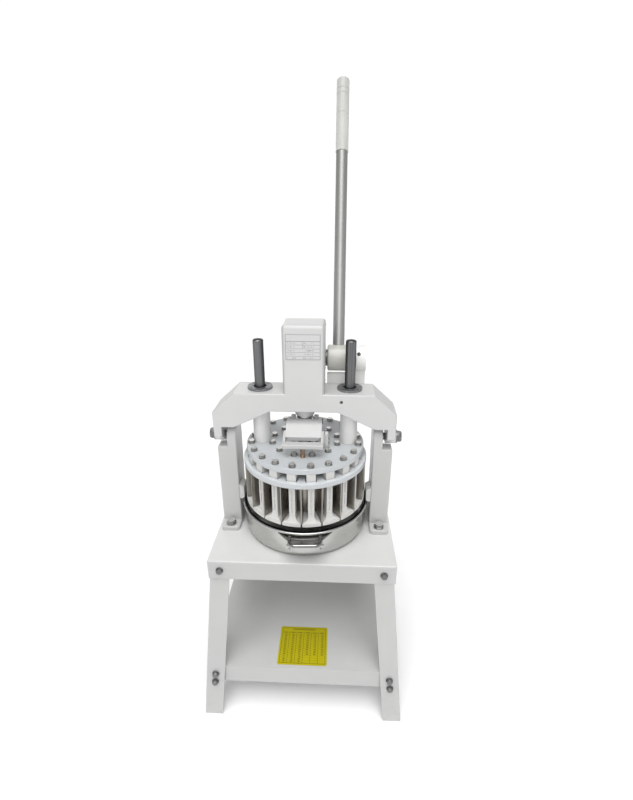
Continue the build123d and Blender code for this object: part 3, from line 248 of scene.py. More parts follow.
def enamel(name, colour, gloss, peel, top=1.0, painted_side_shade=1.0):
    """Sprayed enamel: faint unevenness, orange peel and a little dust on what faces up.

    What faces up is top times as bright, a painted highlight, and what leans to a side is scaled by the side
    factor, a painted shade."""
    f = Finish(name)
    cloud = f.ramp(f.noise(7.0, 4.0, 0.6), 0.3, 0.7)
    speck = f.ramp(f.noise(160.0, 2.0, 0.5), 0.66, 0.78)
    up = f.facing(2)
    dust = f.ramp(up, 0.5, 1.0) * f.ramp(f.noise(38.0, 6.0, 0.65), 0.42, 0.72)
    low = f.axes()[2]
    scuff = f.ramp(0.12 - low, 0.0, 0.12) * f.ramp(f.noise(55.0, 5.0, 0.7), 0.5, 0.7)
    base = f.blend(cloud, colour, tint(colour, (0.955, 0.96, 0.965)))
    base = f.blend(speck * 0.10, base, tint(colour, (0.72, 0.72, 0.70)))
    base = f.blend(dust * 0.22, base, tint(colour, (1.05, 1.04, 1.02)))
    base = f.blend(scuff * 0.30, base, tint(colour, (0.66, 0.64, 0.60)))
    # painted highlight on faces that point up, and painted shade on faces that lean to a side
    base = f.shade(f.ramp(up, 0.5, 1.0), base, top)
    base = f.shade(f.ramp(f.facing(0).size(), 0.3, 0.6), base, painted_side_shade)
    rough = gloss + 0.10 * cloud + 0.16 * dust + 0.12 * scuff
    grain = f.noise(620.0, 2.0, 0.5) * 0.6 + f.noise(190.0, 2.0, 0.4)
    return f.surface(colour=base, rough=rough, normal=f.bump(grain, peel, 0.0006), coat=0.15,
                     coat_rough=0.2, specular=0.5)


def drawn_steel(name, colour, streak, rough, contrast, turn=(0.0, 0.0, 0.0), edge=1.0):
    """Bright or dark bar with fine streaks along one axis, darker at its edges where edge is under 1."""
    f = Finish(name)
    lines = f.noise(1.0, 4.0, 0.7, f.scaled(streak, turn))
    broad = f.noise(1.0, 2.0, 0.5, f.scaled(tuple(s * 0.18 for s in streak), turn))
    cloud = f.noise(24.0, 4.0, 0.6)
    tone = f.ramp(lines * 0.55 + broad * 0.45, 0.32, 0.68)
    base = f.blend(tone, tint(colour, 1 - contrast), tint(colour, 1 + contrast))
    base = f.blend(f.ramp(cloud, 0.55, 0.8) * 0.25, base, tint(colour, (0.80, 0.78, 0.74)))
    return f.surface(colour=base, metal=1.0, rough=rough - 0.10 * tone + 0.12 * cloud, edge=(edge,) * 3,
                     normal=f.bump(lines, 0.10, 0.0004))


def turned_steel(name, colour, centre, rough, contrast):
    """Polished sheet with fine rings left by spinning, about an upright axis."""
    f = Finish(name)
    x, y, z = f.axes()
    x = x - centre[0]
    y = y - centre[1]
    reach = (x * x + y * y).root()
    spot = f.node("ShaderNodeCombineXYZ", None, {0: reach * 900.0, 1: z * 900.0, 2: x * 3.0})
    rings = f.noise(1.0, 4.0, 0.7, spot)
    cloud = f.noise(14.0, 4.0, 0.6)
    smear = f.ramp(f.noise(30.0, 5.0, 0.7), 0.52, 0.75)
    base = f.blend(f.ramp(rings, 0.3, 0.7), tint(colour, 1 - contrast), tint(colour, 1 + contrast))
    base = f.blend(smear * 0.20, base, tint(colour, (0.86, 0.84, 0.80)))
    return f.surface(colour=base, metal=1.0, rough=rough + 0.10 * cloud + 0.06 * rings + 0.08 * smear,
                     normal=f.bump(rings, 0.02, 0.0003))


def worn_zinc_painted_shade(name, colour):
    """Plated fasteners: crystalline spangle, bright tops, and duller, darker flanks that are painted shade.
    """
    f = Finish(name)
    up = f.facing(2)
    settings = {"feature": "F1"}
    cells = f.node("ShaderNodeTexVoronoi", settings, {"Vector": f.place, "Scale": 900.0}, output="Distance")
    cloud = f.ramp(f.noise(120.0, 4.0, 0.6), 0.4, 0.7)
    base = f.blend(f.ramp(cells, 0.2, 0.8), colour, tint(colour, (0.82, 0.82, 0.80)))
    base = f.blend(cloud * 0.25, base, tint(colour, (0.66, 0.64, 0.60)))
    # painted shade: faces that do not point up are darkened to about a third, leaving the tops bright
    base = f.blend(f.ramp(up, 0.35, 0.9), tint(colour, (0.34, 0.34, 0.335)), base)
    return f.surface(colour=base, metal=1.0, rough=0.24 + 0.14 * cloud, normal=f.bump(cells, 0.05, 0.0003))


def oiled_black(name, colour):
    """Blackened bolts and bushes, rubbed lighter in places."""
    f = Finish(name)
    rub = f.ramp(f.noise(140.0, 5.0, 0.65), 0.50, 0.74)
    fine = f.noise(700.0, 2.0, 0.5)
    base = f.blend(rub * 0.6, colour, tint(colour, (2.3, 2.3, 2.25)))
    return f.surface(colour=base, metal=0.85, rough=0.36 + 0.14 * fine - 0.08 * rub,
                     normal=f.bump(fine, 0.12, 0.0003))


def seal_rubber(name, colour):
    """Black moulded seal, dull with a flour bloom."""
    f = Finish(name)
    bloom = f.ramp(f.noise(90.0, 5.0, 0.7), 0.56, 0.82)
    fine = f.noise(900.0, 2.0, 0.5)
    base = f.blend(bloom * 0.03, colour, (0.10, 0.098, 0.095))
    return f.surface(colour=base, rough=0.70 + 0.2 * bloom, normal=f.bump(fine, 0.15, 0.0003), specular=0.03)


def hammered_hub(name, colour):
    """Thick beige enamel on the cast hub, with a soft pebbled skin."""
    f = Finish(name)
    pebble = f.noise(150.0, 2.0, 0.4)
    cloud = f.ramp(f.noise(26.0, 4.0, 0.6), 0.35, 0.7)
    base = f.blend(cloud, colour, tint(colour, (0.86, 0.85, 0.82)))
    return f.surface(colour=base, rough=0.30 + 0.12 * cloud, normal=f.bump(pebble, 0.22, 0.0008), coat=0.25,
                     coat_rough=0.15)


def moulded_grip(name, colour, turn):
    """Light grey plastic sleeve with fine ribs along it and a little hand polish."""
    f = Finish(name)
    streak = f.noise(1.0, 3.0, 0.6, f.scaled((420.0, 420.0, 14.0), turn))
    polish = f.ramp(f.noise(22.0, 4.0, 0.6), 0.4, 0.7)
    base = f.blend(f.ramp(streak, 0.3, 0.7), tint(colour, 0.90), tint(colour, 1.06))
    base = f.blend(polish * 0.25, base, tint(colour, (0.84, 0.83, 0.80)))
    return f.surface(colour=base, rough=0.48 - 0.12 * polish, normal=f.bump(streak, 0.25, 0.0005))


def sintered(name, colour):
    """Porous bronze or drawn brass."""
    f = Finish(name)
    pores = f.ramp(f.noise(800.0, 3.0, 0.6), 0.35, 0.6)
    tarnish = f.ramp(f.noise(60.0, 4.0, 0.6), 0.45, 0.75)
    base = f.blend(tarnish * 0.6, colour, tint(colour, (0.55, 0.48, 0.40)))
    return f.surface(colour=base, metal=1.0, rough=0.26 + 0.14 * pores, normal=f.bump(pores, 0.10, 0.0003))


class DividerFinishes(bpy.types.PropertyGroup):
    """Colours of the painted and bare parts."""

    white: FloatVectorProperty(name="White enamel", description="Frame, yoke and legs", subtype="COLOR",
                               default=(0.59, 0.59, 0.58), min=0.0, max=1.0)
    disc: FloatVectorProperty(name="Disc enamel", description="Press disc and knife disc", subtype="COLOR",
                              default=(0.525, 0.545, 0.56), min=0.0, max=1.0)
    pusher: FloatVectorProperty(name="Pusher enamel", description="Three rings of pushers", subtype="COLOR",
                                default=(0.63, 0.625, 0.605), min=0.0, max=1.0)
    hub: FloatVectorProperty(name="Hub enamel", description="Lever hub", subtype="COLOR",
                             default=(0.58, 0.577, 0.545), min=0.0, max=1.0)
    grip: FloatVectorProperty(name="Grip", description="Sleeve on the lever's end", subtype="COLOR",
                              default=(0.55, 0.55, 0.53), min=0.0, max=1.0)
    pan: FloatVectorProperty(name="Pan steel", description="Pan, handle and strap", subtype="COLOR",
                             default=(0.53, 0.53, 0.515), min=0.0, max=1.0)


class DividerSpring(bpy.types.PropertyGroup):
    """Coil under the release paddle."""

    turns: FloatProperty(name="Turns", description="Turns of the coil", default=6.5, min=3.0, max=12.0)
    wire: FloatProperty(name="Wire radius", description="Radius of the wire", default=0.7 * MM, min=0.0002,
                        unit="LENGTH")
    closing: FloatProperty(name="Closing", description="How much the end turns close up", default=0.45,
                           min=0.0, max=0.8, subtype="FACTOR")


class DividerPlates(bpy.types.PropertyGroup):
    """Name plate on the box and chart on the shelf."""

    name_width: FloatProperty(name="Name plate width", description="Across the box", default=71.0 * MM,
                              unit="LENGTH")
    name_height: FloatProperty(name="Name plate height", description="Up the box", default=53.0 * MM,
                               unit="LENGTH")
    name_top: FloatProperty(name="Name plate drop", description="From the box's top to the plate's top",
                            default=17.0 * MM, unit="LENGTH")
    chart_width: FloatProperty(name="Chart width", description="Across the shelf", default=116.0 * MM,
                               unit="LENGTH")
    chart_depth: FloatProperty(name="Chart depth", description="Front to back", default=103.0 * MM,
                               unit="LENGTH")
    chart_front: FloatProperty(name="Chart setback", description="From the shelf's front edge to the chart",
                               default=8.0 * MM, unit="LENGTH")
    thickness: FloatProperty(name="Plate thickness", description="Both plates", default=0.5 * MM,
                             unit="LENGTH")
    rows: IntProperty(name="Chart rows", description="Ruled rows of the chart", default=17, min=4, max=40)
    chart_colour: FloatVectorProperty(name="Chart yellow", description="Ground colour of the chart",
                                      subtype="COLOR", default=(0.46, 0.40, 0.004), min=0.0, max=1.0)


class DividerScrews(bpy.types.PropertyGroup):
    """Small socket screws in the paddle's guide post."""

    head: FloatProperty(name="Head radius", description="Radius of a screw head", default=3.2 * MM,
                        unit="LENGTH")
    height: FloatProperty(name="Head height", description="Height of a screw head", default=2.6 * MM,
                          unit="LENGTH")
    inset: FloatProperty(name="Inset", description="From the post's front to the screws", default=6.0 * MM,
                         unit="LENGTH")
    low: FloatProperty(name="Lower screw", description="Height above the disc", default=13.0 * MM,
                       unit="LENGTH")
    high: FloatProperty(name="Upper screw", description="Height above the disc", default=23.0 * MM,
                        unit="LENGTH")


class DividerStage(bpy.types.PropertyGroup):
    """Floor, light and camera."""

    floor: FloatVectorProperty(name="Floor", description="Colour of the floor", subtype="COLOR",
                               default=(0.985, 0.985, 0.985), min=0.0, max=1.0)
    ceiling: FloatProperty(name="Ceiling light", description="Strength of the soft light from above",
                           default=2.2, min=0.0)
    key: FloatProperty(name="Light boxes", description="Power that each light box takes a share of",
                       default=6.0, min=0.0, subtype="POWER")
    sky: FloatProperty(name="Surround", description="Strength of the surrounding light", default=1.05,
                       min=0.0)
    lens: FloatProperty(name="Lens", description="Focal length", default=19.507, min=5.0,
                        subtype="DISTANCE_CAMERA")


def new_object(name, mesh, material):
    piece = bpy.data.objects.new(name, mesh)
    bpy.context.scene.collection.objects.link(piece)
    mesh.materials.clear()
    mesh.materials.append(material)
    return piece


def rounded_plate(name, width, height, thickness, corner, material):
    """Flat plate on z = 0 with rounded corners and a softened top edge, about the origin."""
    bm = bmesh.new()
    bmesh.ops.create_grid(bm, x_segments=1, y_segments=1, size=0.5)
    bmesh.ops.scale(bm, vec=(width, height, 1.0), verts=bm.verts)
    bmesh.ops.bevel(bm, geom=bm.verts[:], offset=corner, segments=CORNER_STEPS, affect="VERTICES",
                    profile=0.5)
    grown = bmesh.ops.extrude_face_region(bm, geom=bm.faces[:])
    top = [v for v in grown["geom"] if isinstance(v, bmesh.types.BMVert)]
    bmesh.ops.translate(bm, vec=(0.0, 0.0, thickness), verts=top)
    rim = [e for e in bm.edges if all(v in top for v in e.verts)]
    bmesh.ops.bevel(bm, geom=rim, offset=thickness * 0.4, segments=2, affect="EDGES", profile=0.5)
    bmesh.ops.recalc_face_normals(bm, faces=bm.faces)
    mesh = bpy.data.meshes.new(name)
    bm.to_mesh(mesh)
    bm.free()
    return new_object(name, mesh, material)


def geometry_tree(name, inputs):
    """An empty geometry tree with named inputs and one geometry output."""
    group = bpy.data.node_groups.new(name, "GeometryNodeTree")
    face = group.interface
    face.new_socket("Geometry", in_out="INPUT", socket_type="NodeSocketGeometry")
    for label, kind in inputs:
        face.new_socket(label, in_out="INPUT", socket_type=kind)
    face.new_socket("Geometry", in_out="OUTPUT", socket_type="NodeSocketGeometry")
    tree = Tree(group)
    given = group.nodes.new("NodeGroupInput")
    links = {s.name: Link(tree, s) for s in given.outputs if s.name}
    return group, tree, links


def end_tree(tree, geometry, finish):
    """Makes the instances real, gives them their material and ends the tree."""
    real = tree.node("GeometryNodeRealizeInstances", None, {"Geometry": geometry})
    dressed = tree.node("GeometryNodeSetMaterial", None, {"Geometry": real, "Material": finish})
    tree.node("NodeGroupOutput", None, {0: dressed})


def grow(name, group, values, material, points):
    """Runs a geometry tree on the points and leaves a plain mesh object."""
    seed = bpy.data.meshes.new(name + "_points")
    seed.from_pydata(points, [], [])
    piece = bpy.data.objects.new(name, seed)
    bpy.context.scene.collection.objects.link(piece)
    modifier = piece.modifiers.new("grow", "NODES")
    modifier.node_group = group
    for item in group.interface.items_tree:
        if item.item_type == "SOCKET" and item.in_out == "INPUT" and item.name in values:
            modifier[item.identifier] = values[item.name]
    bpy.context.view_layer.update()
    graph = bpy.context.evaluated_depsgraph_get()
    mesh = bpy.data.meshes.new_from_object(piece.evaluated_get(graph), depsgraph=graph)
    piece.modifiers.remove(modifier)
    piece.data = mesh
    bpy.data.meshes.remove(seed)
    if not mesh.polygons:
        raise RuntimeError(f"{name} came out empty")
    mesh.materials.clear()
    mesh.materials.append(material)
    return piece


class DIVIDER_OT_finishes(bpy.types.Operator):
    """Gives every CAD node its finish"""

    bl_idname = "divider.finishes"
    bl_label = "Finish the CAD nodes"

    def execute(self, context):
        chosen = context.scene.divider_finishes
        pan_lo, pan_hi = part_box("pan_bowl")
        pan_centre = (pan_lo + pan_hi) / 2
        white = tuple(chosen.white)
        disc = tuple(chosen.disc)
        made = {
            "white_paint": enamel("White_enamel", white, *FRAME_COAT),
            "disc_paint": enamel("Disc_enamel", disc, *DISC_COAT),
            "hub_paint": hammered_hub("Hub_enamel", tuple(chosen.hub)),
            "grip_plastic": moulded_grip("Grip_plastic", tuple(chosen.grip), LEVER_TURN),
            "pan_steel": turned_steel("Pan_polished", tuple(chosen.pan), pan_centre, 0.20, 0.05),
            "knife_steel": drawn_steel("Knife_ground", (0.37, 0.35, 0.32), (260.0, 260.0, 9.0), 0.28, 0.26),
            "machined_steel": drawn_steel("Machined_bar", SLOT_COLOUR["machined_steel"], (340.0, 340.0, 8.0),
                                          0.24, 0.16),
            "plated_steel": worn_zinc_painted_shade("Plated_bolts_painted_shade", (0.86, 0.86, 0.85)),
            "dark_steel": oiled_black("Oiled_black", (0.18, 0.18, 0.178)),
            "seal_rubber": seal_rubber("Seal_rubber", (0.004, 0.004, 0.004)),
            "bronze": sintered("Bronze_bush", SLOT_COLOUR["bronze"]),
            "spring_brass": sintered("Spring_brass", (0.42, 0.25, 0.15)),
        }
        rods = drawn_steel("Guide_rod", (0.17, 0.172, 0.175), (420.0, 420.0, 6.0), 0.36, 0.34, edge=0.3)
        rings = oiled_black("Guide_ring", (0.25, 0.255, 0.26))
        tube = drawn_steel("Lever_tube", (0.40, 0.40, 0.39), (260.0, 260.0, 2.0), 0.50, 0.10, LEVER_TURN, 0.3)
        # painted light: the guide columns take a brighter copy of the white enamel, standing in for front
        # light under the beam
        columns = enamel("Column_enamel_painted_light", tint(white, 1.30), *FRAME_COAT)
        # painted shade: the stand, uprights and paddle take a darker copy of the white enamel
        stand = enamel("Frame_enamel_painted_shade", tint(white, 0.88), *FRAME_COAT)
        pushers = enamel("Pusher_enamel", tuple(chosen.pusher), *DISC_COAT)
        own = {
            "lever_tube": tube,
            # painted light: the shaft bracket takes a brighter copy of the white enamel, standing in for
            # light the hub keeps off it
            "shaft_bracket": enamel("Bracket_enamel_painted_light", tint(white, 1.45), *FRAME_COAT),
            # painted light and shade: a darker copy of the white on the apron, with its upward faces made
            # 1.28 times as bright
            "table_top": enamel("Table_enamel_painted_light_and_shade", tint(white, 0.88), *FRAME_COAT, top=1.28),
            # painted shade: the yoke's faces that lean to the sides are darkened
            "yoke_casting": enamel("Yoke_enamel_painted_shade", white, *FRAME_COAT, painted_side_shade=0.76),
            # painted light: the knife disc's upward faces are made 1.2 times as bright, standing in for light
            # in the gap between the discs
            "knife_disc": enamel("Knife_disc_enamel_painted_light", disc, *DISC_COAT, top=1.2),
            # painted shade: the handle is a darker copy of the pan steel, standing in for the shade and dark
            # reflections around it
            "pan_handle": turned_steel("Handle_polished_painted_shade", tint(chosen.pan, 0.50), pan_centre, 0.12, 0.05),
        }
        shared = (("guide_rod_", rods), ("guide_bush_", rings), ("guide_column_", columns),
                  ("pushers_", pushers), ("upright_left", stand), ("upright_right", stand), ("leg_", stand),
                  ("tray_shelf", stand), ("release_paddle", stand))
        for start, material in shared:
            own.update({name: material for name in frame["nodes"] if name.startswith(start)})
        for name, node in frame["nodes"].items():
            material = own.get(name) or made[NODE_SLOT[name]]
            for place in node.material_slots:
                place.material = material
        return {"FINISHED"}


class DIVIDER_OT_spring(bpy.types.Operator):
    """Winds the coil spring under the release paddle"""

    bl_idname = "divider.spring"
    bl_label = "Paddle spring"

    def execute(self, context):
        chosen = context.scene.divider_spring
        lo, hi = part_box("paddle_spring")
        middle = (lo + hi) / 2
        reach = (hi.x - lo.x) / 2 - chosen.wire
        sizes = (("Turns", "NodeSocketFloat"), ("Reach", "NodeSocketFloat"), ("Height", "NodeSocketFloat"),
                 ("Wire", "NodeSocketFloat"), ("Closing", "NodeSocketFloat"), ("Foot", "NodeSocketVector"),
                 ("Finish", "NodeSocketMaterial"))
        group, tree, given = geometry_tree("coil_spring", sizes)
        coil = tree.node("GeometryNodeCurveSpiral", None, {
            "Resolution": COIL_STEPS, "Rotations": given["Turns"], "Start Radius": given["Reach"],
            "End Radius": given["Reach"], "Height": given["Height"]})
        along = tree.node("GeometryNodeSplineParameter", output="Factor")
        ease = (along * (2 * math.pi)).sine() * given["Height"] * given["Closing"] / (-2 * math.pi)
        shift = tree.node("ShaderNodeCombineXYZ", None, {2: ease})
        coil = tree.node("GeometryNodeSetPosition", None, {"Geometry": coil, "Offset": shift})
        round_wire = tree.node("GeometryNodeCurvePrimitiveCircle", None,
                               {"Resolution": WIRE_SIDES, "Radius": given["Wire"]})
        tube = tree.node("GeometryNodeCurveToMesh", None,
                         {"Curve": coil, "Profile Curve": round_wire, "Fill Caps": True})
        tube = tree.node("GeometryNodeTransform", None, {"Geometry": tube, "Translation": given["Foot"]})
        tube = tree.node("GeometryNodeSetShadeSmooth", None, {"Geometry": tube})
        end_tree(tree, tube, given["Finish"])
        brass = bpy.data.materials["Spring_brass"]
        values = {"Turns": chosen.turns, "Reach": reach, "Height": hi.z - lo.z - 2 * chosen.wire,
                  "Wire": chosen.wire, "Closing": chosen.closing,
                  "Foot": (middle.x, middle.y, lo.z + chosen.wire), "Finish": brass}
        piece = grow("paddle_spring_coil", group, values, brass, [(0.0, 0.0, 0.0)])
        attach(piece, "press")
        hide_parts("paddle_spring")
        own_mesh(piece)
        return {"FINISHED"}


def ruled_label(name, centre, width, height, rows):
    """Pale label with a thin frame, a wide heading row and ruled rows, all bare, in the XZ plane."""
    f = Finish(name)
    x, _, z = f.axes()
    u = (x - centre.x) / width + 0.5
    v = (z - centre.z) / height + 0.5
    side = (u - 0.5).size()
    end = (v - 0.5).size()
    edge = (side > 0.475).most(end > 0.465)
    inside = (side < 0.490) * (end < 0.485)
    top_row = 0.72  # the heading lies above this share of the height
    body = v < top_row
    row = (v / top_row * rows).fraction()
    rule = (row < 0.10) * body
    split = (side < 0.006) * (v > 0.43) * body
    heading = (v - top_row).size() < 0.012
    ink = edge.most(rule).most(split).most(heading) * inside
    dash = f.noise(1.0, 1.0, 0.5, f.scaled((620.0, 1.0, 60.0))) > 0.52
    short = (u * 2.0).fraction() < 0.62
    mark = dash * short * (row > 0.38) * (row < 0.72) * body * (u > 0.05) * (u < 0.90)
    grain = f.noise(1.0, 3.0, 0.6, f.scaled((30.0, 30.0, 900.0)))
    ground = f.blend(f.ramp(grain, 0.3, 0.7), (0.56, 0.565, 0.57), (0.60, 0.60, 0.595))
    base = f.blend((ink * 0.62).most(mark * 0.45), ground, (0.09, 0.09, 0.10))
    return f.surface(colour=base, rough=0.34 + 0.12 * grain, metal=0.1, normal=f.bump(grain, 0.05, 0.0002))


def ruled_chart(name, colour, centre, width, depth, rows):
    """Yellow chart: ruled columns with a column of plain marks in each, a heading strip and a dark frame."""
    f = Finish(name)
    x, y, _ = f.axes()
    u = (x - centre.x) / width + 0.5
    v = (y - centre.y) / depth + 0.5
    side = (u - 0.5).size()
    end = (v - 0.5).size()
    inside = (side < 0.465) * (end < 0.465)
    table = inside * (v < 0.86)
    margin = 0.035
    column = ((u - margin) / (1 - 2 * margin) * CHART_COLUMNS).fraction()
    row = (v * rows).fraction()
    rule = (row < 0.12) * table
    bar = ((column < 0.035).most(column > 0.965)) * table
    filled = (u < 0.5).most(v > 0.24) * (v < 0.80)
    mark = (column > 0.40) * (column < 0.72) * (row > 0.32) * (row < 0.84) * filled * inside
    ragged = f.noise(1.0, 1.0, 0.5, f.scaled((900.0, 900.0, 1.0))) > 0.46
    heading = (v > 0.905) * (v < 0.945) * (side < 0.24) * ((u * 26.0).fraction() < 0.62)
    arch = (v > 0.825) * (v < 0.85) * (column > 0.2) * (column < 0.8) * inside
    framed = (side < 0.468) * (end < 0.466)
    frame_line = (side > 0.455).most(end > 0.452) * framed
    faint = (rule * 0.45).most(bar * 0.55).most(frame_line * 0.5)
    strong = (mark * ragged * 0.85).most(heading * 0.7).most(arch * 0.6)
    fade = f.ramp(f.noise(40.0, 4.0, 0.6), 0.35, 0.7)
    ground = f.blend(fade, colour, tint(colour, (0.93, 0.93, 0.9)))
    base = f.blend(faint.most(strong), ground, (0.035, 0.034, 0.012))
    return f.surface(colour=base, rough=0.50 + 0.10 * fade, specular=0.12,
                     normal=f.bump(f.noise(500.0, 2.0, 0.5), 0.05, 0.0002))


class DIVIDER_OT_name_plate(bpy.types.Operator):
    """Puts the bare ruled plate on the front of the rack box"""

    bl_idname = "divider.name_plate"
    bl_label = "Name plate"

    def execute(self, context):
        chosen = context.scene.divider_plates
        lo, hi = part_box("yoke_casting")
        width, height = chosen.name_width, chosen.name_height
        centre = Vector((NAME_SHIFT, lo.y - SKIN_GAP, hi.z - chosen.name_top - height / 2))
        finish = ruled_label("Name_plate", centre, width, height, NAME_ROWS)
        piece = rounded_plate("name_plate", width, height, chosen.thickness, NAME_CORNER, finish)
        piece.data.transform(Matrix.Translation(centre) @ Matrix.Rotation(math.radians(90), 4, "X"))
        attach(piece, "head")
        return {"FINISHED"}


class DIVIDER_OT_chart(bpy.types.Operator):
    """Lays the yellow chart on the shelf"""

    bl_idname = "divider.chart"
    bl_label = "Shelf chart"

    def execute(self, context):
        chosen = context.scene.divider_plates
        lo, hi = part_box("tray_shelf")
        width, depth = chosen.chart_width, chosen.chart_depth
        centre = Vector((CHART_SHIFT, lo.y + chosen.chart_front + depth / 2, hi.z + SKIN_GAP))
        finish = ruled_chart("Shelf_chart", tuple(chosen.chart_colour), centre, width, depth, chosen.rows)
        piece = rounded_plate("shelf_chart", width, depth, chosen.thickness, CHART_CORNER, finish)
        piece.data.transform(Matrix.Translation(centre))
        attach(piece, "stand")
        return {"FINISHED"}


class DIVIDER_OT_post_screws(bpy.types.Operator):
    """Sets two socket screws in the side of the paddle's guide post"""

    bl_idname = "divider.post_screws"
    bl_label = "Post screws"

    def execute(self, context):
        chosen = context.scene.divider_screws
        sizes = (("Head", "NodeSocketFloat"), ("Rise", "NodeSocketFloat"), ("Finish", "NodeSocketMaterial"))
        group, tree, given = geometry_tree("socket_heads", sizes)
        place = tree.node("GeometryNodeInputPosition")
        x = tree.node("ShaderNodeSeparateXYZ", None, {0: place})
        away = tree.node("ShaderNodeMath", {"operation": "SIGN"}, {0: x})
        turn = tree.node("ShaderNodeCombineXYZ", None, {1: away * (math.pi / 2)})
        head = tree.node("GeometryNodeMeshCylinder", {"fill_type": "NGON"}, {
            "Vertices": HEAD_SIDES, "Radius": given["Head"], "Depth": given["Rise"]})
        key = tree.node("GeometryNodeMeshCylinder", {"fill_type": "NGON"}, {
            "Vertices": KEY_SIDES, "Radius": given["Head"] * KEY_SHARE, "Depth": given["Rise"]})
        sunk = tree.node("ShaderNodeCombineXYZ", None, {2: given["Rise"] * 0.5})
        key = tree.node("GeometryNodeTransform", None, {"Geometry": key, "Translation": sunk})
        head = tree.node("GeometryNodeMeshBoolean", {"operation": "DIFFERENCE", "solver": "EXACT"},
                         {"Mesh 1": head, "Mesh 2": key})
        spots = tree.node("GeometryNodeInstanceOnPoints", None,
                          {"Points": given["Geometry"], "Instance": head, "Rotation": turn})
        end_tree(tree, spots, given["Finish"])
        lo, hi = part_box("paddle_cheeks")
        stand_off = chosen.height / 2 + SKIN_GAP
        points = [(hi.x + stand_off, lo.y + chosen.inset, lo.z + rise) for rise in (chosen.low, chosen.high)]
        black = bpy.data.materials["Oiled_black"]
        values = {"Head": chosen.head, "Rise": chosen.height, "Finish": black}
        piece = grow("post_screws", group, values, black, points)
        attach(piece, "press")
        return {"FINISHED"}


def hang_lamp(lamp, spot):
    """Hangs a lamp at a spot, turned to the middle of the machine."""
    holder = bpy.data.objects.new(lamp.name, lamp)
    holder.location = spot
    holder.rotation_euler = (LIGHT_AIM - spot).to_track_quat("-Z", "Y").to_euler()
    bpy.context.scene.collection.objects.link(holder)


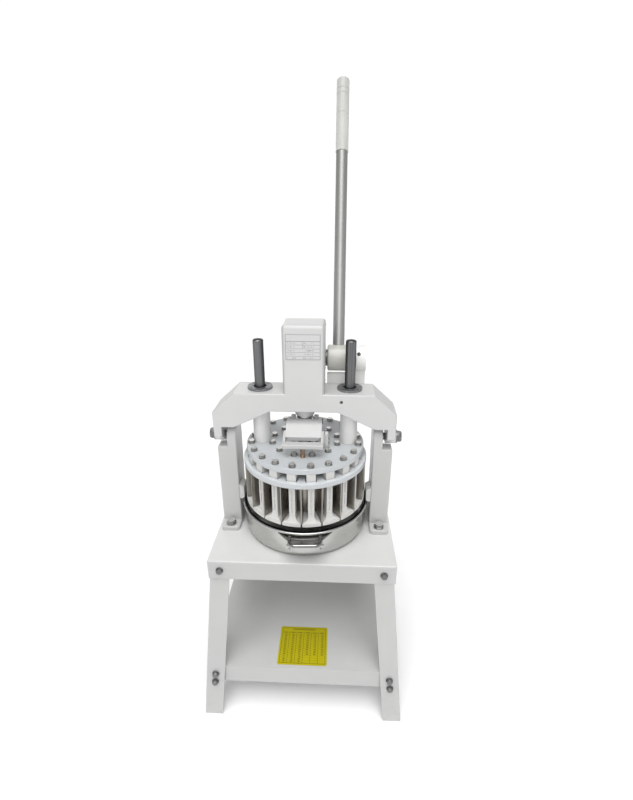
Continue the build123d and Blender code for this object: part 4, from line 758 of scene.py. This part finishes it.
class DIVIDER_OT_stage(bpy.types.Operator):
    """Makes the floor, the lights and the camera"""

    bl_idname = "divider.stage"
    bl_label = "Stage"

    def execute(self, context):
        chosen = context.scene.divider_stage
        scene = context.scene
        floor = Finish("Pale_floor")
        cloud = floor.noise(1.2, 3.0, 0.5)
        colour = tuple(chosen.floor)
        mottled = floor.blend(cloud, colour, tint(colour, 0.985))
        sheet = floor.surface(colour=mottled, rough=0.85, specular=0.1)
        bm = bmesh.new()
        bmesh.ops.create_grid(bm, x_segments=2, y_segments=2, size=FLOOR_REACH)
        mesh = bpy.data.meshes.new("floor")
        bm.to_mesh(mesh)
        bm.free()
        ground = new_object("floor", mesh, sheet)

        world = bpy.data.worlds.new("studio")
        world.use_nodes = True
        scene.world = world
        sky = Tree(world.node_tree)
        sky.nodes.clear()
        look = sky.node("ShaderNodeTexCoord", output="Object")
        rear = sky.node("ShaderNodeSeparateXYZ", None, {0: look}, output=1)
        height = sky.node("ShaderNodeSeparateXYZ", None, {0: look}, output=2)
        height = height * 0.5 + 0.5
        greys = ((0.46, 0.50), (0.52, 0.66), (0.62, 0.66), (0.80, 0.25))
        dome = [(place, (grey, grey, grey, 1)) for place, grey in greys]
        room = sky.node("ShaderNodeValToRGB", {"stops": dome}, {"Fac": height})
        cove = [(0.70, BLACK), (0.86, WHITE)]
        behind = sky.node("ShaderNodeValToRGB", {"stops": cove}, {"Fac": rear * 0.5 + 0.5})
        brow = [(0.70, WHITE), (0.78, (0.15, 0.15, 0.15, 1))]
        under = sky.node("ShaderNodeValToRGB", {"stops": brow}, {"Fac": height})
        white_wall = {0: behind * under, 6: room, 7: WHITE}
        both = sky.node("ShaderNodeMix", {"data_type": "RGBA"}, white_wall, output=2)
        light = sky.node("ShaderNodeBackground", None, {"Color": both, "Strength": chosen.sky})
        sky.node("ShaderNodeOutputWorld", None, {"Surface": light})

        ceiling = bpy.data.lights.new("ceiling", "SUN")
        ceiling.energy = chosen.ceiling
        ceiling.angle = CEILING_SPREAD
        hang_lamp(ceiling, LIGHT_AIM + CEILING_FROM)
        boxes = (("left_box", (-1.7, -1.3, 1.25), (0.5, 1.5), 0.30, (1.0, 0.99, 0.97)),
                 ("right_box", (1.9, -1.0, 1.2), (0.4, 1.5), 0.20, (0.97, 0.985, 1.0)),
                 ("front_box", (0.10, -1.15, 1.60), (0.9, 0.5), 0.65, (1.0, 1.0, 1.0)),
                 ("rear_box", (-1.2, 2.2, 1.9), (1.2, 1.2), 0.60, (0.98, 0.99, 1.0)))
        for label, spot, size, share, colour in boxes:
            lamp = bpy.data.lights.new(label, "AREA")
            lamp.shape = "RECTANGLE"
            lamp.size, lamp.size_y = size
            lamp.energy = chosen.key * share
            lamp.color = colour
            hang_lamp(lamp, Vector(spot))

        eye = bpy.data.cameras.new("photo_view")
        eye.sensor_width = SENSOR_WIDTH
        eye.lens = chosen.lens
        eye.clip_start = NEAR_CLIP
        camera = bpy.data.objects.new("photo_view", eye)
        camera.location = CAMERA_SPOT
        camera.rotation_euler = Euler(CAMERA_TURN)
        scene.collection.objects.link(camera)
        scene.camera = camera
        scene.view_settings.view_transform = "Standard"
        return {"FINISHED"}


GROUPS = (("divider_finishes", DividerFinishes), ("divider_spring", DividerSpring),
          ("divider_plates", DividerPlates), ("divider_screws", DividerScrews),
          ("divider_stage", DividerStage))
STEPS = (DIVIDER_OT_finishes, DIVIDER_OT_spring, DIVIDER_OT_name_plate, DIVIDER_OT_chart,
         DIVIDER_OT_post_screws, DIVIDER_OT_stage)


class DIVIDER_PT_panel(bpy.types.Panel):
    """Lists the divider's pieces and their sizes"""

    bl_idname = "DIVIDER_PT_panel"
    bl_label = "Dough divider"
    bl_space_type = "VIEW_3D"
    bl_region_type = "UI"
    bl_category = "Divider"

    def draw(self, context):
        for step in STEPS:
            self.layout.operator(step.bl_idname)
        for attribute, group in GROUPS:
            box = self.layout.box()
            for key in group.__annotations__:
                box.prop(getattr(context.scene, attribute), key)


def register():
    for attribute, group in GROUPS:
        bpy.utils.register_class(group)
        setattr(bpy.types.Scene, attribute, PointerProperty(type=group))
    for step in STEPS:
        bpy.utils.register_class(step)
    bpy.utils.register_class(DIVIDER_PT_panel)


def unregister():
    bpy.utils.unregister_class(DIVIDER_PT_panel)
    for step in reversed(STEPS):
        bpy.utils.unregister_class(step)
    for attribute, group in reversed(GROUPS):
        delattr(bpy.types.Scene, attribute)
        bpy.utils.unregister_class(group)


def main():
    register()
    for step in STEPS:
        group, name = step.bl_idname.split(".")
        getattr(getattr(bpy.ops, group), name)()
    bpy.context.view_layer.update()


if __name__ == "__main__":
    main()
